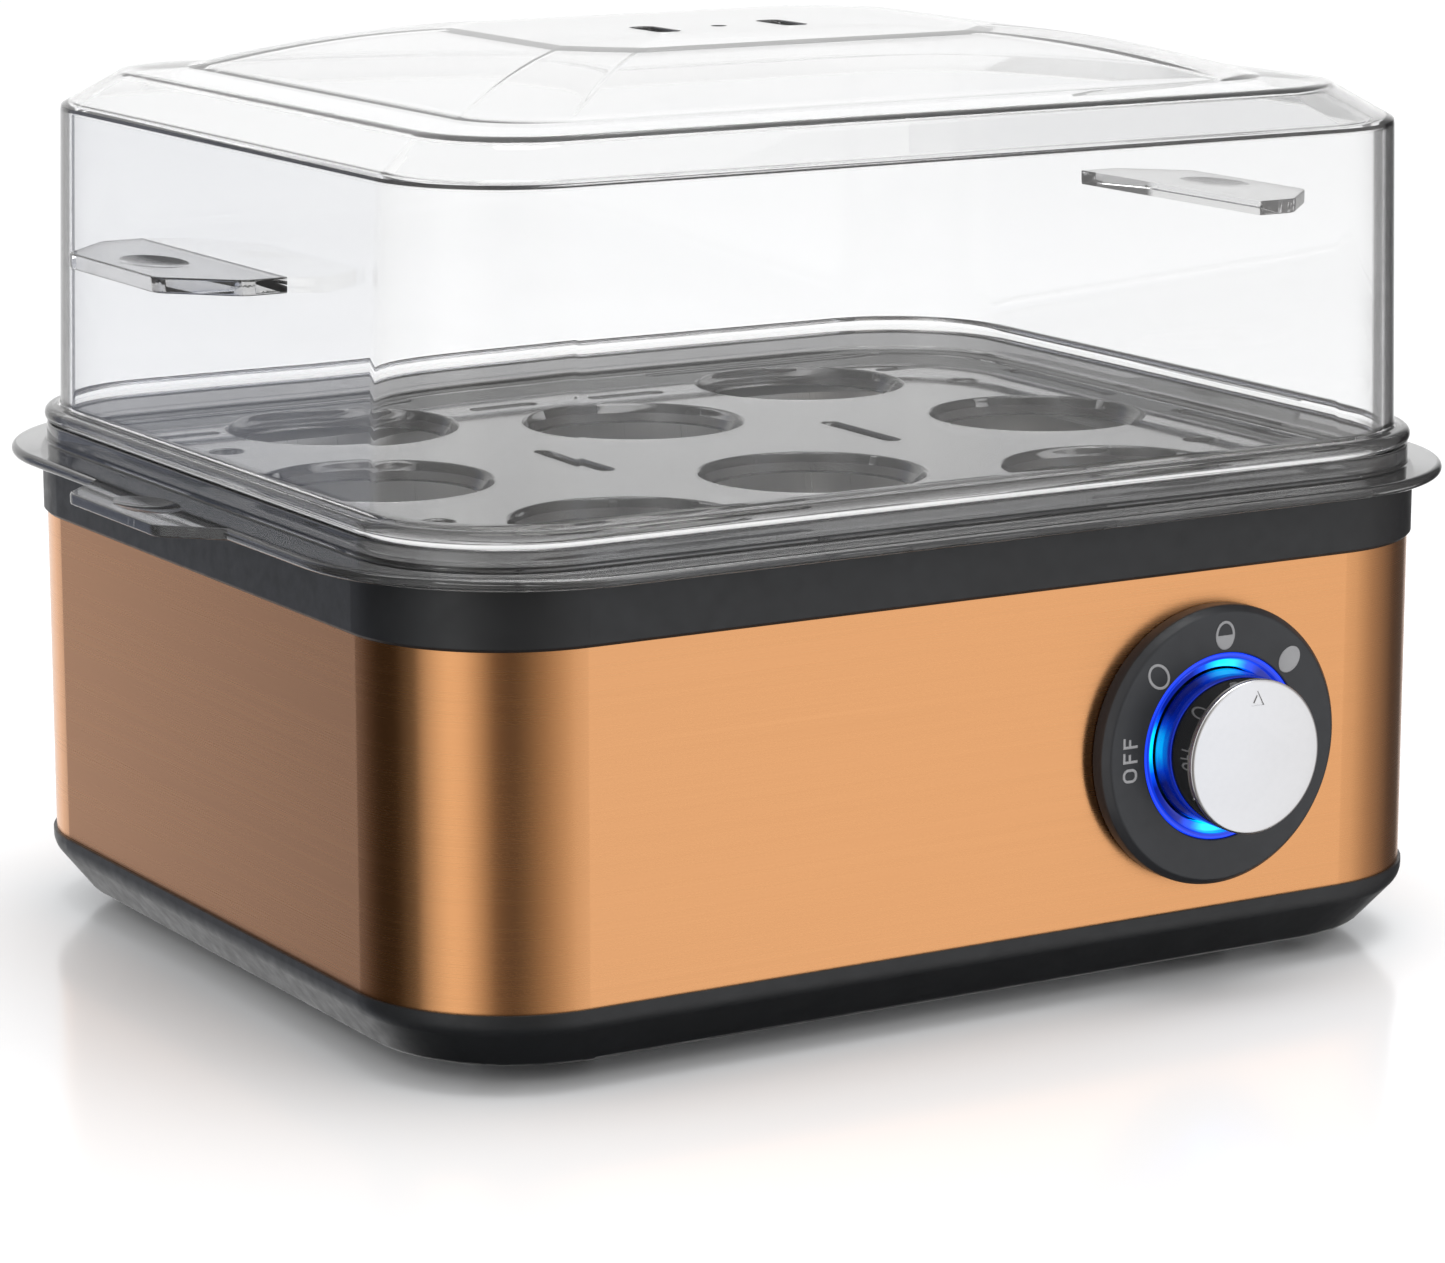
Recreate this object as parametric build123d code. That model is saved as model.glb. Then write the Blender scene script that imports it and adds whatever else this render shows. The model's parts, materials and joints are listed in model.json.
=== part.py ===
from build123d import *
import math
import os

# Egg cooker for eight eggs. Millimetres, +Z up, the dial faces -Y.
# Heights count from the surface that the feet stand on. Plan positions count from the centre of the
# housing, and write() moves everything back a little, so that the origin is the centre of the whole
# footprint, knob and tray included.

# ---- housing: sleeve, base pan and collar -------------------------------------------------------
SLEEVE_W = 180.0
SLEEVE_D = 150.3
SLEEVE_R = 24.0
SLEEVE_T = 0.6
SLEEVE_Z0 = 12.2
SLEEVE_Z1 = 64.1
FIT = 0.1  # gap of a lip inside the sleeve, per side
LIP_T = 1.8

FOOT_H = 3.0
FOOT_X = 58.0
FOOT_Y = 44.0
FOOT_R = 8.0
FOOT_STEM_R = 2.4

PAN_W = 181.0
PAN_D = 151.0
PAN_R = 24.3
PAN_SLOPE_Z = 10.0  # the pan's side is upright above this height
PAN_SLOPE = 5.0  # how far each side slopes in towards the underside
PAN_BEND_R = 3.5  # where the slope meets the upright side
PAN_EDGE_R = 1.6  # rounding of the underside's edge
PAN_T = 2.2
PAN_LIP_Z = 17.0
PAN_VENTS = (5, 18.0, 6.0)  # slots per side, X of the first one, spacing
PAN_VENT_Y = (-6.0, 16.0)
PAN_VENT_W = 2.4
LABEL = (56.0, 22.0, 2.0)
LABEL_Y = -36.0
LABEL_RECESS = 0.4
LABEL_T = 0.35

COLLAR_W = 181.2
COLLAR_D = 151.5
COLLAR_R = 24.6
COLLAR_T = 3.0
COLLAR_Z1 = 73.5
COLLAR_LIP_Z = 60.0
LEDGE_Z0 = 66.5
LEDGE_Z1 = 68.5
LEDGE_HOLE = (156.0, 128.0, 33.0)

POST_X = 72.0
POST_Y = 57.5
POST_R = 4.0
POST_Z0 = 14.0
BOSS_R = 4.8
SCREW_R = 1.45
SCREW_HEAD_R = 3.3
SCREW_HEAD_H = 2.4
SCREW_LENGTH = 26.0
SCREW_SINK = 3.8  # depth of the counterbore in the underside
SCREW_PLAY = 0.4  # radial play of the screw in the base pan
HOLE_GAP = 0.05  # radial gap of a screw in the hole it grips

# ---- heating dish and what hangs under it -------------------------------------------------------
FLANGE = (170.0, 140.0, 21.0)
SEAL_T = 1.5
DISH_T = 0.8
DISH_TOP = (150.0, 122.0, 30.0)
DISH_FLOOR = (143.3, 115.3, 26.6)
DISH_FLOOR_Z = 52.0
DISH_Z1 = LEDGE_Z1 + SEAL_T + DISH_T
STUD_X = 50.0
STUD_Y = 67.0
STUD_R = 1.5
STUD_Z0 = 62.5
NUT_H = 2.4
NUT_R = 2.75  # to the nut's flats

PLATE_Z1 = DISH_FLOOR_Z - DISH_T
PLATE_T = 3.5
PLATE = (104.0, 84.0, 20.0)
ELEMENT_R = 3.3
ELEMENT_Z = PLATE_Z1 - PLATE_T - 1.0
ELEMENT_X = 42.0
ELEMENT_Y = 32.0
ELEMENT_TAIL_X = 11.0
ELEMENT_TAIL_Y = 47.0
THERMOSTAT_R = 8.2
THERMOSTAT_H = 7.0
THERMOSTAT_BLADE = (6.3, 4.5, 0.8)  # width, length and thickness of a tab terminal
THERMOSTAT_BLADE_DROP = 4.2  # from the plate down to the blade
CLAMP_SHEET = 0.8
CLIP_SHEET = 0.6
CLAMP_SCREW_R = 1.2
FUSE_R = 1.9
FUSE_Y = -20.0

# ---- mains inlet and terminals ------------------------------------------------------------------
GLAND_X = -50.0
GLAND_Z = 28.0
GLAND_NECK = (10.8, 10.8, 2.0)  # square, so that the gland can't turn in the wall
GLAND_FLANGE_R = 7.8
GLAND_BORE_R = 3.4
GLAND_OUT = 2.2
GLAND_IN = 9.0
TERMINAL_X = -20.5
TERMINAL_Y = 45.0
TERMINAL_D = 12.0
TERMINAL_H = 12.0
TERMINAL_W = 24.0
TERMINAL_BOSS_H = 3.0
TERMINAL_BOSS_R = 2.6
TERMINAL_PITCH = 9.5
TERMINAL_SCREW_X = (TERMINAL_X - 5.0, TERMINAL_X + 5.0)
TERMINAL_WIRE_Z = FOOT_H + PAN_T + TERMINAL_BOSS_H + 5.0

# ---- dial ---------------------------------------------------------------------------------------
DIAL_X = 40.7
DIAL_Z = 37.8
FRONT = -SLEEVE_D / 2
BEZEL_R = 21.4
BEZEL_T = 3.6
BEZEL_BEVEL = 1.1
BEZEL_FACE_R = 20.3
BEZEL_POCKET = 2.4  # depth of the hollows in the bezel's back
BEZEL_BORE_R = 14.25
RING_IN_R = 12.0
RING_OUT_R = 14.2
RING_STEP_R = 15.4
KNOB_R = 11.7
KNOB_REACH = 12.1  # knob's front ahead of the sleeve
CAP_T = 1.2
CAP_DOME = 0.3
SPINDLE_R = 3.0
SPINDLE_GAP = 0.05
MARK_T = 0.08
MARK_RADIUS = 17.0
MARK_LINE = 0.42
MARK_EGG = (3.5, 4.4)
LETTER_H = 2.6
LETTER_X = (-2.45, 0.25, 2.5)
POINTER = ((-1.2, 7.9), (1.2, 7.9), (0.0, 10.2))
POINTER_DEPTH = 0.45
BEZEL_POST_R = 18.3
BEZEL_POST_ANGLES = (90, 210, 330)

CARRIER_T = 2.5
CARRIER_Y = FRONT + SLEEVE_T + 0.15  # its front face, just behind the sleeve
BOARD_Y = -64.0  # the board's front face
BOARD_T = 1.6
BOARD_X = (14.0, 66.0)
BOARD_Z = (20.0, 57.0)
LIGHT_COUNT = 6

# ---- egg tray -----------------------------------------------------------------------------------
TRAY = (193.0, 163.4, 34.0)
TRAY_T = 1.8
TRAY_Z1 = COLLAR_Z1 + TRAY_T
UPSTAND = (179.6, 150.0, 23.9)
UPSTAND_T = 1.5
UPSTAND_H = 3.0
RIB = (174.2, 144.5, 21.1)
RIB_T = 1.5
RIB_Z0 = 71.2
SEATS = [(x, y) for x in (-43.0, 43.0) for y in (-46.0, 46.0)]
SEATS += [(-60.0, 0.0), (60.0, 0.0), (0.0, -27.0), (0.0, 27.0)]
SEAT_TOP_R = 17.4
SEAT_R = 16.0
SEAT_Z0 = 72.3
SEAT_T = 1.2
SLOT_W = 2.6
# Drain slots of one quarter, from one point to another.
SLOTS = [(26, 66, 71, 66), (63, 50.5, 73, 50.5), (81.5, 10, 81.5, 39), (6, 50, 17, 50)]
MIDDLE_SLOT = (26, 9)  # X, and half its length
DRAIN_HOLE = (68, 34, 2.5)
TRAY_DIMPLE_X = 98.2
TRAY_TAB_X = 104.0
TRAY_TAB_Y = 25.0
TAB_CHAMFER = 9.6

# ---- lid ----------------------------------------------------------------------------------------
LID_T = 1.8
LID_BASE = (175.2, 145.9, 22.0)
LID_TOP = (172.4, 143.7, 20.5)
LID_RING = (155.3, 126.1, 15.0)
DOME_BASE = (137.8, 109.4, 12.0)
DOME_TOP = (75.2, 52.7, 7.0)
LID_Z0 = 75.9
BEAD = (180.3, 150.5, 24.2)
BEAD_Z0 = TRAY_Z1 + UPSTAND_H
BEAD_T = 2.6
LID_TOP_Z = 128.6
LID_RING_Z = 133.7
DOME_Z0 = 134.4
DOME_Z1 = 141.1
DOME_STEPS = 5
LID_TAB_X = 103.0
LID_TAB_Y = 25.0
LID_TAB_Z1 = 111.2
LID_TAB_T = 2.35
LID_DIMPLE_X = 96.0
VENT_X = 11.4
VENT_W = 4.0
VENT_L = 10.0
DIMPLE = (4.4, 8.0, 0.55)  # half sizes of the finger dimple on each tab, and its depth

FRONT_REACH = -FRONT + KNOB_REACH
BACK_REACH = TRAY[1] / 2
SHIFT_Y = (FRONT_REACH - BACK_REACH) / 2


# ---- helpers ------------------------------------------------------------------------------------
def prism(size, z0, z1, x=0.0, y=0.0):
    """Upright block with a rounded rectangle (width, depth, corner radius) as its plan."""
    return extrude(Pos(x, y, z0) * RectangleRounded(*size), z1 - z0)


def inset(size, by):
    """The same rounded rectangle, smaller by the given amount on every side."""
    return (size[0] - 2 * by, size[1] - 2 * by, size[2] - by)


def stack(sections):
    """Solid through rounded rectangles given as (width, depth, corner radius, height)."""
    return loft([Pos(0, 0, z) * RectangleRounded(w, d, r) for w, d, r, z in sections], ruled=True)


def upright(x, y, z0, z1, r):
    return Pos(x, y, (z0 + z1) / 2) * Cylinder(r, z1 - z0)


def level(x, z, y0, y1, r):
    """Cylinder along Y."""
    return Pos(x, (y0 + y1) / 2, z) * Rot(90, 0, 0) * Cylinder(r, y1 - y0)


def level_prism(size, x, z, y0, y1):
    """Block along Y with a rounded rectangle as its outline, seen from the front."""
    return extrude(Pos(x, y1, z) * Rot(90, 0, 0) * RectangleRounded(*size), y1 - y0)


def block(x0, x1, y0, y1, z0, z1):
    return Pos((x0 + x1) / 2, (y0 + y1) / 2, (z0 + z1) / 2) * Box(x1 - x0, y1 - y0, z1 - z0)


def slot_cut(x0, y0, x1, y1, width, z0, z1):
    """Round-ended cutter that runs from one point to another, along X or Y."""
    length = math.hypot(x1 - x0, y1 - y0) + width
    turn = 90 if abs(y1 - y0) > abs(x1 - x0) else 0
    shape = Pos((x0 + x1) / 2, (y0 + y1) / 2, z0) * Rot(0, 0, turn) * SlotOverall(length, width)
    return extrude(shape, z1 - z0)


def corners(x, y):
    return [(sx * x, sy * y) for sx in (-1, 1) for sy in (-1, 1)]


def join(shapes):
    total = None
    for shape in shapes:
        total = shape if total is None else total + shape
    return total


def around_dial(radius, angle):
    """Point at a radius from the dial's axis, the angle counted anticlockwise from +X."""
    a = math.radians(angle)
    return DIAL_X + radius * math.cos(a), DIAL_Z + radius * math.sin(a)


def write(name, shape):
    export_step(Pos(0, SHIFT_Y, 0) * Compound(children=list(shape.solids())), f"parts/{name}.step")


# ---- housing ------------------------------------------------------------------------------------
def base_pan():
    low = (PAN_W - 2 * PAN_SLOPE, PAN_D - 2 * PAN_SLOPE, PAN_R - 1.4)
    side = (PAN_W, PAN_D, PAN_R)
    shell = stack([low + (FOOT_H,), side + (PAN_SLOPE_Z,), side + (SLEEVE_Z0,)])
    shell = fillet(shell.edges().filter_by_position(Axis.Z, FOOT_H, FOOT_H), PAN_EDGE_R)
    shell = fillet(shell.edges().filter_by_position(Axis.Z, PAN_SLOPE_Z, PAN_SLOPE_Z), PAN_BEND_R)
    low_in = inset(low, PAN_T)
    side_in = inset(side, PAN_T)
    floor = FOOT_H + PAN_T
    shell -= stack([low_in + (floor,), side_in + (PAN_SLOPE_Z,), side_in + (SLEEVE_Z0,)])
    lip = inset((SLEEVE_W, SLEEVE_D, SLEEVE_R), SLEEVE_T + FIT)
    lip_ring = prism(lip, PAN_SLOPE_Z, PAN_LIP_Z) - prism(inset(lip, LIP_T), PAN_SLOPE_Z, PAN_LIP_Z)
    shell += lip_ring
    for x, y in corners(POST_X, POST_Y):
        shell += upright(x, y, floor - 1, POST_Z0, BOSS_R)
        shell -= upright(x, y, FOOT_H, FOOT_H + SCREW_SINK, SCREW_HEAD_R + SCREW_PLAY)
        shell -= upright(x, y, FOOT_H, POST_Z0, SCREW_R + SCREW_PLAY)
    for x, y in corners(FOOT_X, FOOT_Y):
        shell -= upright(x, y, FOOT_H, floor, FOOT_STEM_R + HOLE_GAP)
    vent_count, vent_x, vent_pitch = PAN_VENTS
    for side_x in (-1, 1):
        for i in range(vent_count):
            x = side_x * (vent_x + vent_pitch * i)
            shell -= slot_cut(x, PAN_VENT_Y[0], x, PAN_VENT_Y[1], PAN_VENT_W, FOOT_H, floor)
    shell -= prism(LABEL, FOOT_H, FOOT_H + LABEL_RECESS, y=LABEL_Y)
    for x in TERMINAL_SCREW_X:
        shell += upright(x, TERMINAL_Y, floor - 1, floor + TERMINAL_BOSS_H, TERMINAL_BOSS_R)
        shell -= upright(x, TERMINAL_Y, floor, floor + TERMINAL_BOSS_H, CLAMP_SCREW_R)
    return shell


def rubber_feet():
    foot = Cylinder(FOOT_R, FOOT_H)
    foot = chamfer(foot.edges().group_by(Axis.Z)[0], 0.6)
    foot = Pos(0, 0, FOOT_H / 2) * foot - upright(0, 0, 0, 0.8, FOOT_R - 3)
    foot += upright(0, 0, FOOT_H - 0.2, FOOT_H + PAN_T, FOOT_STEM_R)
    foot += Pos(0, 0, FOOT_H + PAN_T + 0.7) * Cone(FOOT_STEM_R + 0.7, FOOT_STEM_R - 0.8, 1.4)
    return join([Pos(x, y, 0) * foot for x, y in corners(FOOT_X, FOOT_Y)])


def cross_screw(shank_r, head_r, head_h, length):
    """Pan-head screw, its head's underside at height 0, shank upwards, cross recess below."""
    head = Pos(0, 0, -head_h / 2) * Cylinder(head_r, head_h)
    head = fillet(head.edges().group_by(Axis.Z)[0], head_h * 0.4)
    recess = Box(head_r * 1.1, head_r * 0.25, head_h) + Box(head_r * 0.25, head_r * 1.1, head_h)
    tip = shank_r * 0.8
    shank = Pos(0, 0, (length - tip) / 2) * Cylinder(shank_r, length - tip)
    shank += Pos(0, 0, length - tip / 2) * Cone(shank_r, shank_r * 0.4, tip)
    return head + shank - Pos(0, 0, -head_h) * recess


def base_screws():
    screw = cross_screw(SCREW_R, SCREW_HEAD_R, SCREW_HEAD_H, SCREW_LENGTH)
    return join([Pos(x, y, FOOT_H + SCREW_SINK) * screw for x, y in corners(POST_X, POST_Y)])


def rating_plate():
    return prism(inset(LABEL, 0.2), FOOT_H, FOOT_H + LABEL_T, y=LABEL_Y)


def sleeve():
    size = (SLEEVE_W, SLEEVE_D, SLEEVE_R)
    band = prism(size, SLEEVE_Z0, SLEEVE_Z1) - prism(inset(size, SLEEVE_T), SLEEVE_Z0, SLEEVE_Z1)
    band -= level(DIAL_X, DIAL_Z, FRONT - 1, FRONT + 1, RING_STEP_R + 0.2)
    for angle in BEZEL_POST_ANGLES:
        x, z = around_dial(BEZEL_POST_R, angle)
        band -= level(x, z, FRONT - 1, FRONT + 1, 2.2)
    band -= level_prism(inset(GLAND_NECK, -FIT), GLAND_X, GLAND_Z, -FRONT - 1, -FRONT + 1)
    return band


def collar():
    size = (COLLAR_W, COLLAR_D, COLLAR_R)
    ring = prism(size, SLEEVE_Z1, COLLAR_Z1)
    outer_edges = ring.edges().filter_by_position(Axis.Z, SLEEVE_Z1, SLEEVE_Z1)
    ring = chamfer(outer_edges, 0.5)
    ring = fillet(ring.edges().filter_by_position(Axis.Z, COLLAR_Z1, COLLAR_Z1), 0.8)
    ring -= prism(inset(size, COLLAR_T), LEDGE_Z1, COLLAR_Z1)
    ring -= prism(inset(size, COLLAR_T), SLEEVE_Z1, LEDGE_Z0)
    ring -= prism(LEDGE_HOLE, LEDGE_Z0, LEDGE_Z1)
    lip = inset((SLEEVE_W, SLEEVE_D, SLEEVE_R), SLEEVE_T + FIT)
    inner = inset(size, COLLAR_T)
    ring += prism(lip, COLLAR_LIP_Z, SLEEVE_Z1) - prism(inner, COLLAR_LIP_Z, SLEEVE_Z1)
    for x, y in corners(POST_X, POST_Y):
        ring += upright(x, y, POST_Z0, LEDGE_Z0 + 0.5, POST_R)
        ring -= upright(x, y, POST_Z0, POST_Z0 + 24, SCREW_R + HOLE_GAP)
    for x, y in corners(STUD_X, STUD_Y):
        ring -= upright(x, y, LEDGE_Z0, LEDGE_Z1, STUD_R + 0.2)
    return ring


# ---- heating dish and heater --------------------------------------------------------------------
def dish_seal():
    seal = prism(FLANGE, LEDGE_Z1, LEDGE_Z1 + SEAL_T) - prism(LEDGE_HOLE, LEDGE_Z1, LEDGE_Z1 + SEAL_T)
    for x, y in corners(STUD_X, STUD_Y):
        seal -= upright(x, y, LEDGE_Z1, LEDGE_Z1 + SEAL_T, STUD_R + 0.1)
    return seal


def heating_dish():
    well = stack([inset(DISH_FLOOR, -DISH_T) + (PLATE_Z1,), inset(DISH_TOP, -DISH_T) + (DISH_Z1,)])
    well = fillet(well.edges().group_by(Axis.Z)[0], 3.0)
    dish = well + prism(FLANGE, DISH_Z1 - DISH_T, DISH_Z1)
    hollow = stack([DISH_FLOOR + (DISH_FLOOR_Z,), DISH_TOP + (DISH_Z1,)])
    hollow = fillet(hollow.edges().group_by(Axis.Z)[0], 2.2)
    dish -= hollow
    for x, y in corners(STUD_X, STUD_Y):
        dish += upright(x, y, STUD_Z0, DISH_Z1 - DISH_T, STUD_R)
    return dish


def dish_nuts():
    nut = extrude(RegularPolygon(NUT_R, 6, major_radius=False), NUT_H)
    nut -= upright(0, 0, 0, NUT_H, STUD_R + HOLE_GAP)
    return join([Pos(x, y, LEDGE_Z0 - NUT_H) * nut for x, y in corners(STUD_X, STUD_Y)])


def element_path():
    points = [
        (ELEMENT_TAIL_X, ELEMENT_TAIL_Y),
        (ELEMENT_TAIL_X, ELEMENT_Y),
        (ELEMENT_X, ELEMENT_Y),
        (ELEMENT_X, -ELEMENT_Y),
        (-ELEMENT_X, -ELEMENT_Y),
        (-ELEMENT_X, ELEMENT_Y),
        (-ELEMENT_TAIL_X, ELEMENT_Y),
        (-ELEMENT_TAIL_X, ELEMENT_TAIL_Y),
    ]
    radii = [9.0, 16.0, 16.0, 16.0, 16.0, 9.0]
    return FilletPolyline([(x, y, ELEMENT_Z) for x, y in points], radius=radii)


def heating_element():
    path = element_path()
    return sweep(Plane(path @ 0, z_dir=path % 0) * Circle(ELEMENT_R), path=path)


def element_terminals():
    pins = []
    for side_x in (-1, 1):
        x = side_x * ELEMENT_TAIL_X
        end = ELEMENT_TAIL_Y
        pins.append(level(x, ELEMENT_Z, end, end + 3, 2.6) + level(x, ELEMENT_Z, end + 3, end + 9, 1.1))
    return join(pins)


def heating_plate(element):
    plate = prism(PLATE, PLATE_Z1 - PLATE_T, PLATE_Z1) - element
    for x, y in bracket_screw_places():
        plate -= upright(x, y, PLATE_Z1 - PLATE_T, PLATE_Z1 - 0.6, CLAMP_SCREW_R + HOLE_GAP)
    return plate


def thermostat():
    top = PLATE_Z1 - PLATE_T
    body = upright(0, 0, top - THERMOSTAT_H, top, THERMOSTAT_R)
    body = fillet(body.edges().group_by(Axis.Z)[0], 1.0)
    width, length, thick = THERMOSTAT_BLADE
    z1 = top - THERMOSTAT_BLADE_DROP
    y1 = THERMOSTAT_R + length - 1
    blade = block(-width / 2, width / 2, y1 - length, y1, z1 - thick, z1)
    return body + blade + blade.mirror(Plane.XZ)


def bracket_screw_places():
    return [(-17.5, 0), (17.5, 0), (-13, FUSE_Y), (13, FUSE_Y)]


def hat_bracket(half, reach, width, drop, sheet):
    """Sheet strap, bent down over the piece that it holds, its feet's tops at height 0."""
    crown = block(-half, half, -width / 2, width / 2, -drop - sheet, -drop)
    legs = block(-half - sheet, -half, -width / 2, width / 2, -drop - sheet, 0)
    feet = block(-half - reach, -half, -width / 2, width / 2, -sheet, 0)
    shape = crown
    for part in (legs, feet):
        shape += part + part.mirror(Plane.YZ)
    hole_x = half + reach - 3.5
    for side_x in (-1, 1):
        shape -= upright(side_x * hole_x, 0, -sheet, 0, 1.5)
    return shape


def thermostat_bracket():
    return Pos(0, 0, PLATE_Z1 - PLATE_T) * hat_bracket(8.5, 12.5, 9.0, THERMOSTAT_H, CLAMP_SHEET)


def thermal_fuse():
    z = PLATE_Z1 - PLATE_T - FUSE_R
    body = Pos(0, FUSE_Y, z) * Rot(0, 90, 0) * Cylinder(FUSE_R, 11)
    wire = Pos(0, FUSE_Y, z) * Rot(0, 90, 0) * Cylinder(0.5, 14)
    return body + wire


def fuse_clip():
    return Pos(0, FUSE_Y, PLATE_Z1 - PLATE_T) * hat_bracket(7.5, 9.0, 5.0, 2 * FUSE_R, CLIP_SHEET)


def bracket_screws():
    top = PLATE_Z1 - PLATE_T
    screw = cross_screw(CLAMP_SCREW_R, 2.4, 1.5, 3.4)
    sheets = (CLAMP_SHEET, CLAMP_SHEET, CLIP_SHEET, CLIP_SHEET)
    return join([Pos(x, y, top - t) * screw for (x, y), t in zip(bracket_screw_places(), sheets)])


# ---- dial, board and knob -----------------------------------------------------------------------
def dial_bezel():
    standing = (Align.CENTER, Align.CENTER, Align.MIN)
    side_h = BEZEL_T - BEZEL_BEVEL
    disc = Cylinder(BEZEL_R, side_h, align=standing)
    disc += Pos(0, 0, side_h) * Cone(BEZEL_R, BEZEL_FACE_R, BEZEL_BEVEL, align=standing)
    disc -= Cylinder(BEZEL_BORE_R, 4 * BEZEL_T)
    disc -= Cylinder(RING_STEP_R + FIT, 2 * BEZEL_POCKET)
    disc -= Cylinder(BEZEL_R - 1.8, 2 * BEZEL_POCKET) - Cylinder(RING_STEP_R + 1.3, 2 * BEZEL_POCKET)
    bezel = Pos(DIAL_X, FRONT, DIAL_Z) * Rot(90, 0, 0) * disc
    for angle in BEZEL_POST_ANGLES:
        x, z = around_dial(BEZEL_POST_R, angle)
        bezel += level(x, z, FRONT - BEZEL_POCKET - 0.5, CARRIER_Y, 2.0)
        bezel -= level(x, z, FRONT - BEZEL_POCKET - 0.2, CARRIER_Y, 1.0 + HOLE_GAP)
    return bezel


def egg_outline(width, height, line):
    """Upright egg sign centred on 0, 0: a ring when line is given, else filled."""
    outer = Ellipse(width / 2, height / 2)
    if line:
        return outer - Ellipse(width / 2 - line, height / 2 - line)
    return outer


def letter_o(size, line):
    return RectangleRounded(size * 0.82, size, size * 0.38) - RectangleRounded(
        size * 0.82 - 2 * line, size - 2 * line, size * 0.38 - line
    )


def letter_f(size, line):
    width = size * 0.62
    upright_bar = Pos(-width / 2 + line / 2, 0) * Rectangle(line, size)
    top_bar = Pos(0, size / 2 - line / 2) * Rectangle(width, line)
    middle_bar = Pos(-line * 0.3, line * 0.2) * Rectangle(width - line * 0.6, line)
    return upright_bar + top_bar + middle_bar


def dial_marks():
    """Printed signs on the bezel's face: off, soft, medium and hard."""
    egg_w, egg_h = MARK_EGG
    line = MARK_LINE
    half_fill = Ellipse(egg_w / 2, egg_h / 2) & Pos(0, -egg_h / 2) * Rectangle(2 * egg_w, egg_h)
    letters = Pos(LETTER_X[0], 0) * letter_o(LETTER_H, line)
    for x in LETTER_X[1:]:
        letters += Pos(x, 0) * letter_f(LETTER_H, line)
    signs = [
        (90, letters),
        (45, egg_outline(egg_w, egg_h, line)),
        (0, egg_outline(egg_w, egg_h, line) + half_fill),
        (-45, egg_outline(egg_w, egg_h, 0)),
    ]
    solids = [extrude(Rot(0, 0, turn) * Pos(0, MARK_RADIUS) * sign, MARK_T) for turn, sign in signs]
    place = Pos(DIAL_X, FRONT - BEZEL_T, DIAL_Z) * Rot(90, 0, 0)
    return join([place * solid for solid in solids])


def light_ring():
    front = FRONT - BEZEL_T + 0.2
    ring = level(DIAL_X, DIAL_Z, front, FRONT - 0.1, RING_OUT_R)
    ring += level(DIAL_X, DIAL_Z, FRONT - BEZEL_POCKET + 0.1, FRONT - 0.1, RING_STEP_R)
    return ring - level(DIAL_X, DIAL_Z, front, FRONT, RING_IN_R)


def dial_carrier():
    y0, y1 = CARRIER_Y, CARRIER_Y + CARRIER_T
    plate = block(BOARD_X[0], BOARD_X[1], y0, y1, BOARD_Z[0], BOARD_Z[1] + 2.3)
    plate -= level(DIAL_X, DIAL_Z, y0, y1, RING_STEP_R - 0.8)
    for angle in BEZEL_POST_ANGLES:
        x, z = around_dial(BEZEL_POST_R, angle)
        plate -= level(x, z, y0, y1, 1.3)
    for x, z in board_screw_places():
        plate += level(x, z, y1 - 0.5, BOARD_Y, 2.6)
        plate -= level(x, z, y1 - 1, BOARD_Y, 1.0 + HOLE_GAP)
    return plate


def bezel_screws():
    screw = Rot(90, 0, 0) * cross_screw(1.0, 2.0, 1.4, 4.6)
    y = CARRIER_Y + CARRIER_T
    places = [around_dial(BEZEL_POST_R, angle) for angle in BEZEL_POST_ANGLES]
    return join([Pos(x, y, z) * screw for x, z in places])


def board_screw_places():
    margin = 3.2
    xs = (BOARD_X[0] + margin, BOARD_X[1] - margin)
    zs = (BOARD_Z[0] + margin, BOARD_Z[1] - margin)
    return [(x, z) for x in xs for z in zs]


def control_board():
    board = block(BOARD_X[0], BOARD_X[1], BOARD_Y, BOARD_Y + BOARD_T, BOARD_Z[0], BOARD_Z[1])
    for x, z in board_screw_places():
        board -= level(x, z, BOARD_Y, BOARD_Y + BOARD_T, 1.3)
    return board


def board_screws():
    screw = Rot(90, 0, 0) * cross_screw(1.0, 2.0, 1.3, 5.0)
    return join([Pos(x, BOARD_Y + BOARD_T, z) * screw for x, z in board_screw_places()])


def timer_control():
    half = 8.0
    body = block(DIAL_X - half, DIAL_X + half, BOARD_Y - 6.5, BOARD_Y, DIAL_Z - half, DIAL_Z + half)
    body = fillet(body.edges().filter_by(Axis.Y), 1.2)
    body += level(DIAL_X, DIAL_Z, BOARD_Y - 12.3, BOARD_Y - 6.5, 4.5)
    return body - level(DIAL_X, DIAL_Z, BOARD_Y - 13, BOARD_Y - 2, SPINDLE_R + SPINDLE_GAP)


def knob_spindle():
    front = FRONT - KNOB_REACH + CAP_T + 3.2
    shaft = level(DIAL_X, DIAL_Z, front, BOARD_Y - 2.4, SPINDLE_R)
    flat = block(DIAL_X - 4, DIAL_X + 4, front, front + 6.5, DIAL_Z - 4, DIAL_Z - 1.7)
    return shaft - flat


def ring_lights():
    lights = []
    for i in range(LIGHT_COUNT):
        x, z = around_dial(13.1, 30 + 360 / LIGHT_COUNT * i)
        lens = level(x, z, BOARD_Y - 6.0, BOARD_Y, 1.5)
        lights.append(fillet(lens.edges().group_by(Axis.Y)[0], 1.2))
    return join(lights)


def buzzer():
    x, z = 20.4, 32.0
    can = level(x, z, BOARD_Y - 6.4, BOARD_Y, 4.75)
    return can - level(x, z, BOARD_Y - 6.4, BOARD_Y - 5.6, 0.9)


def power_relay():
    y = BOARD_Y + BOARD_T
    case = block(42, 60, y, y + 11, 27, 42)
    return fillet(case.edges().group_by(Axis.Y)[-1], 0.8)


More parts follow.
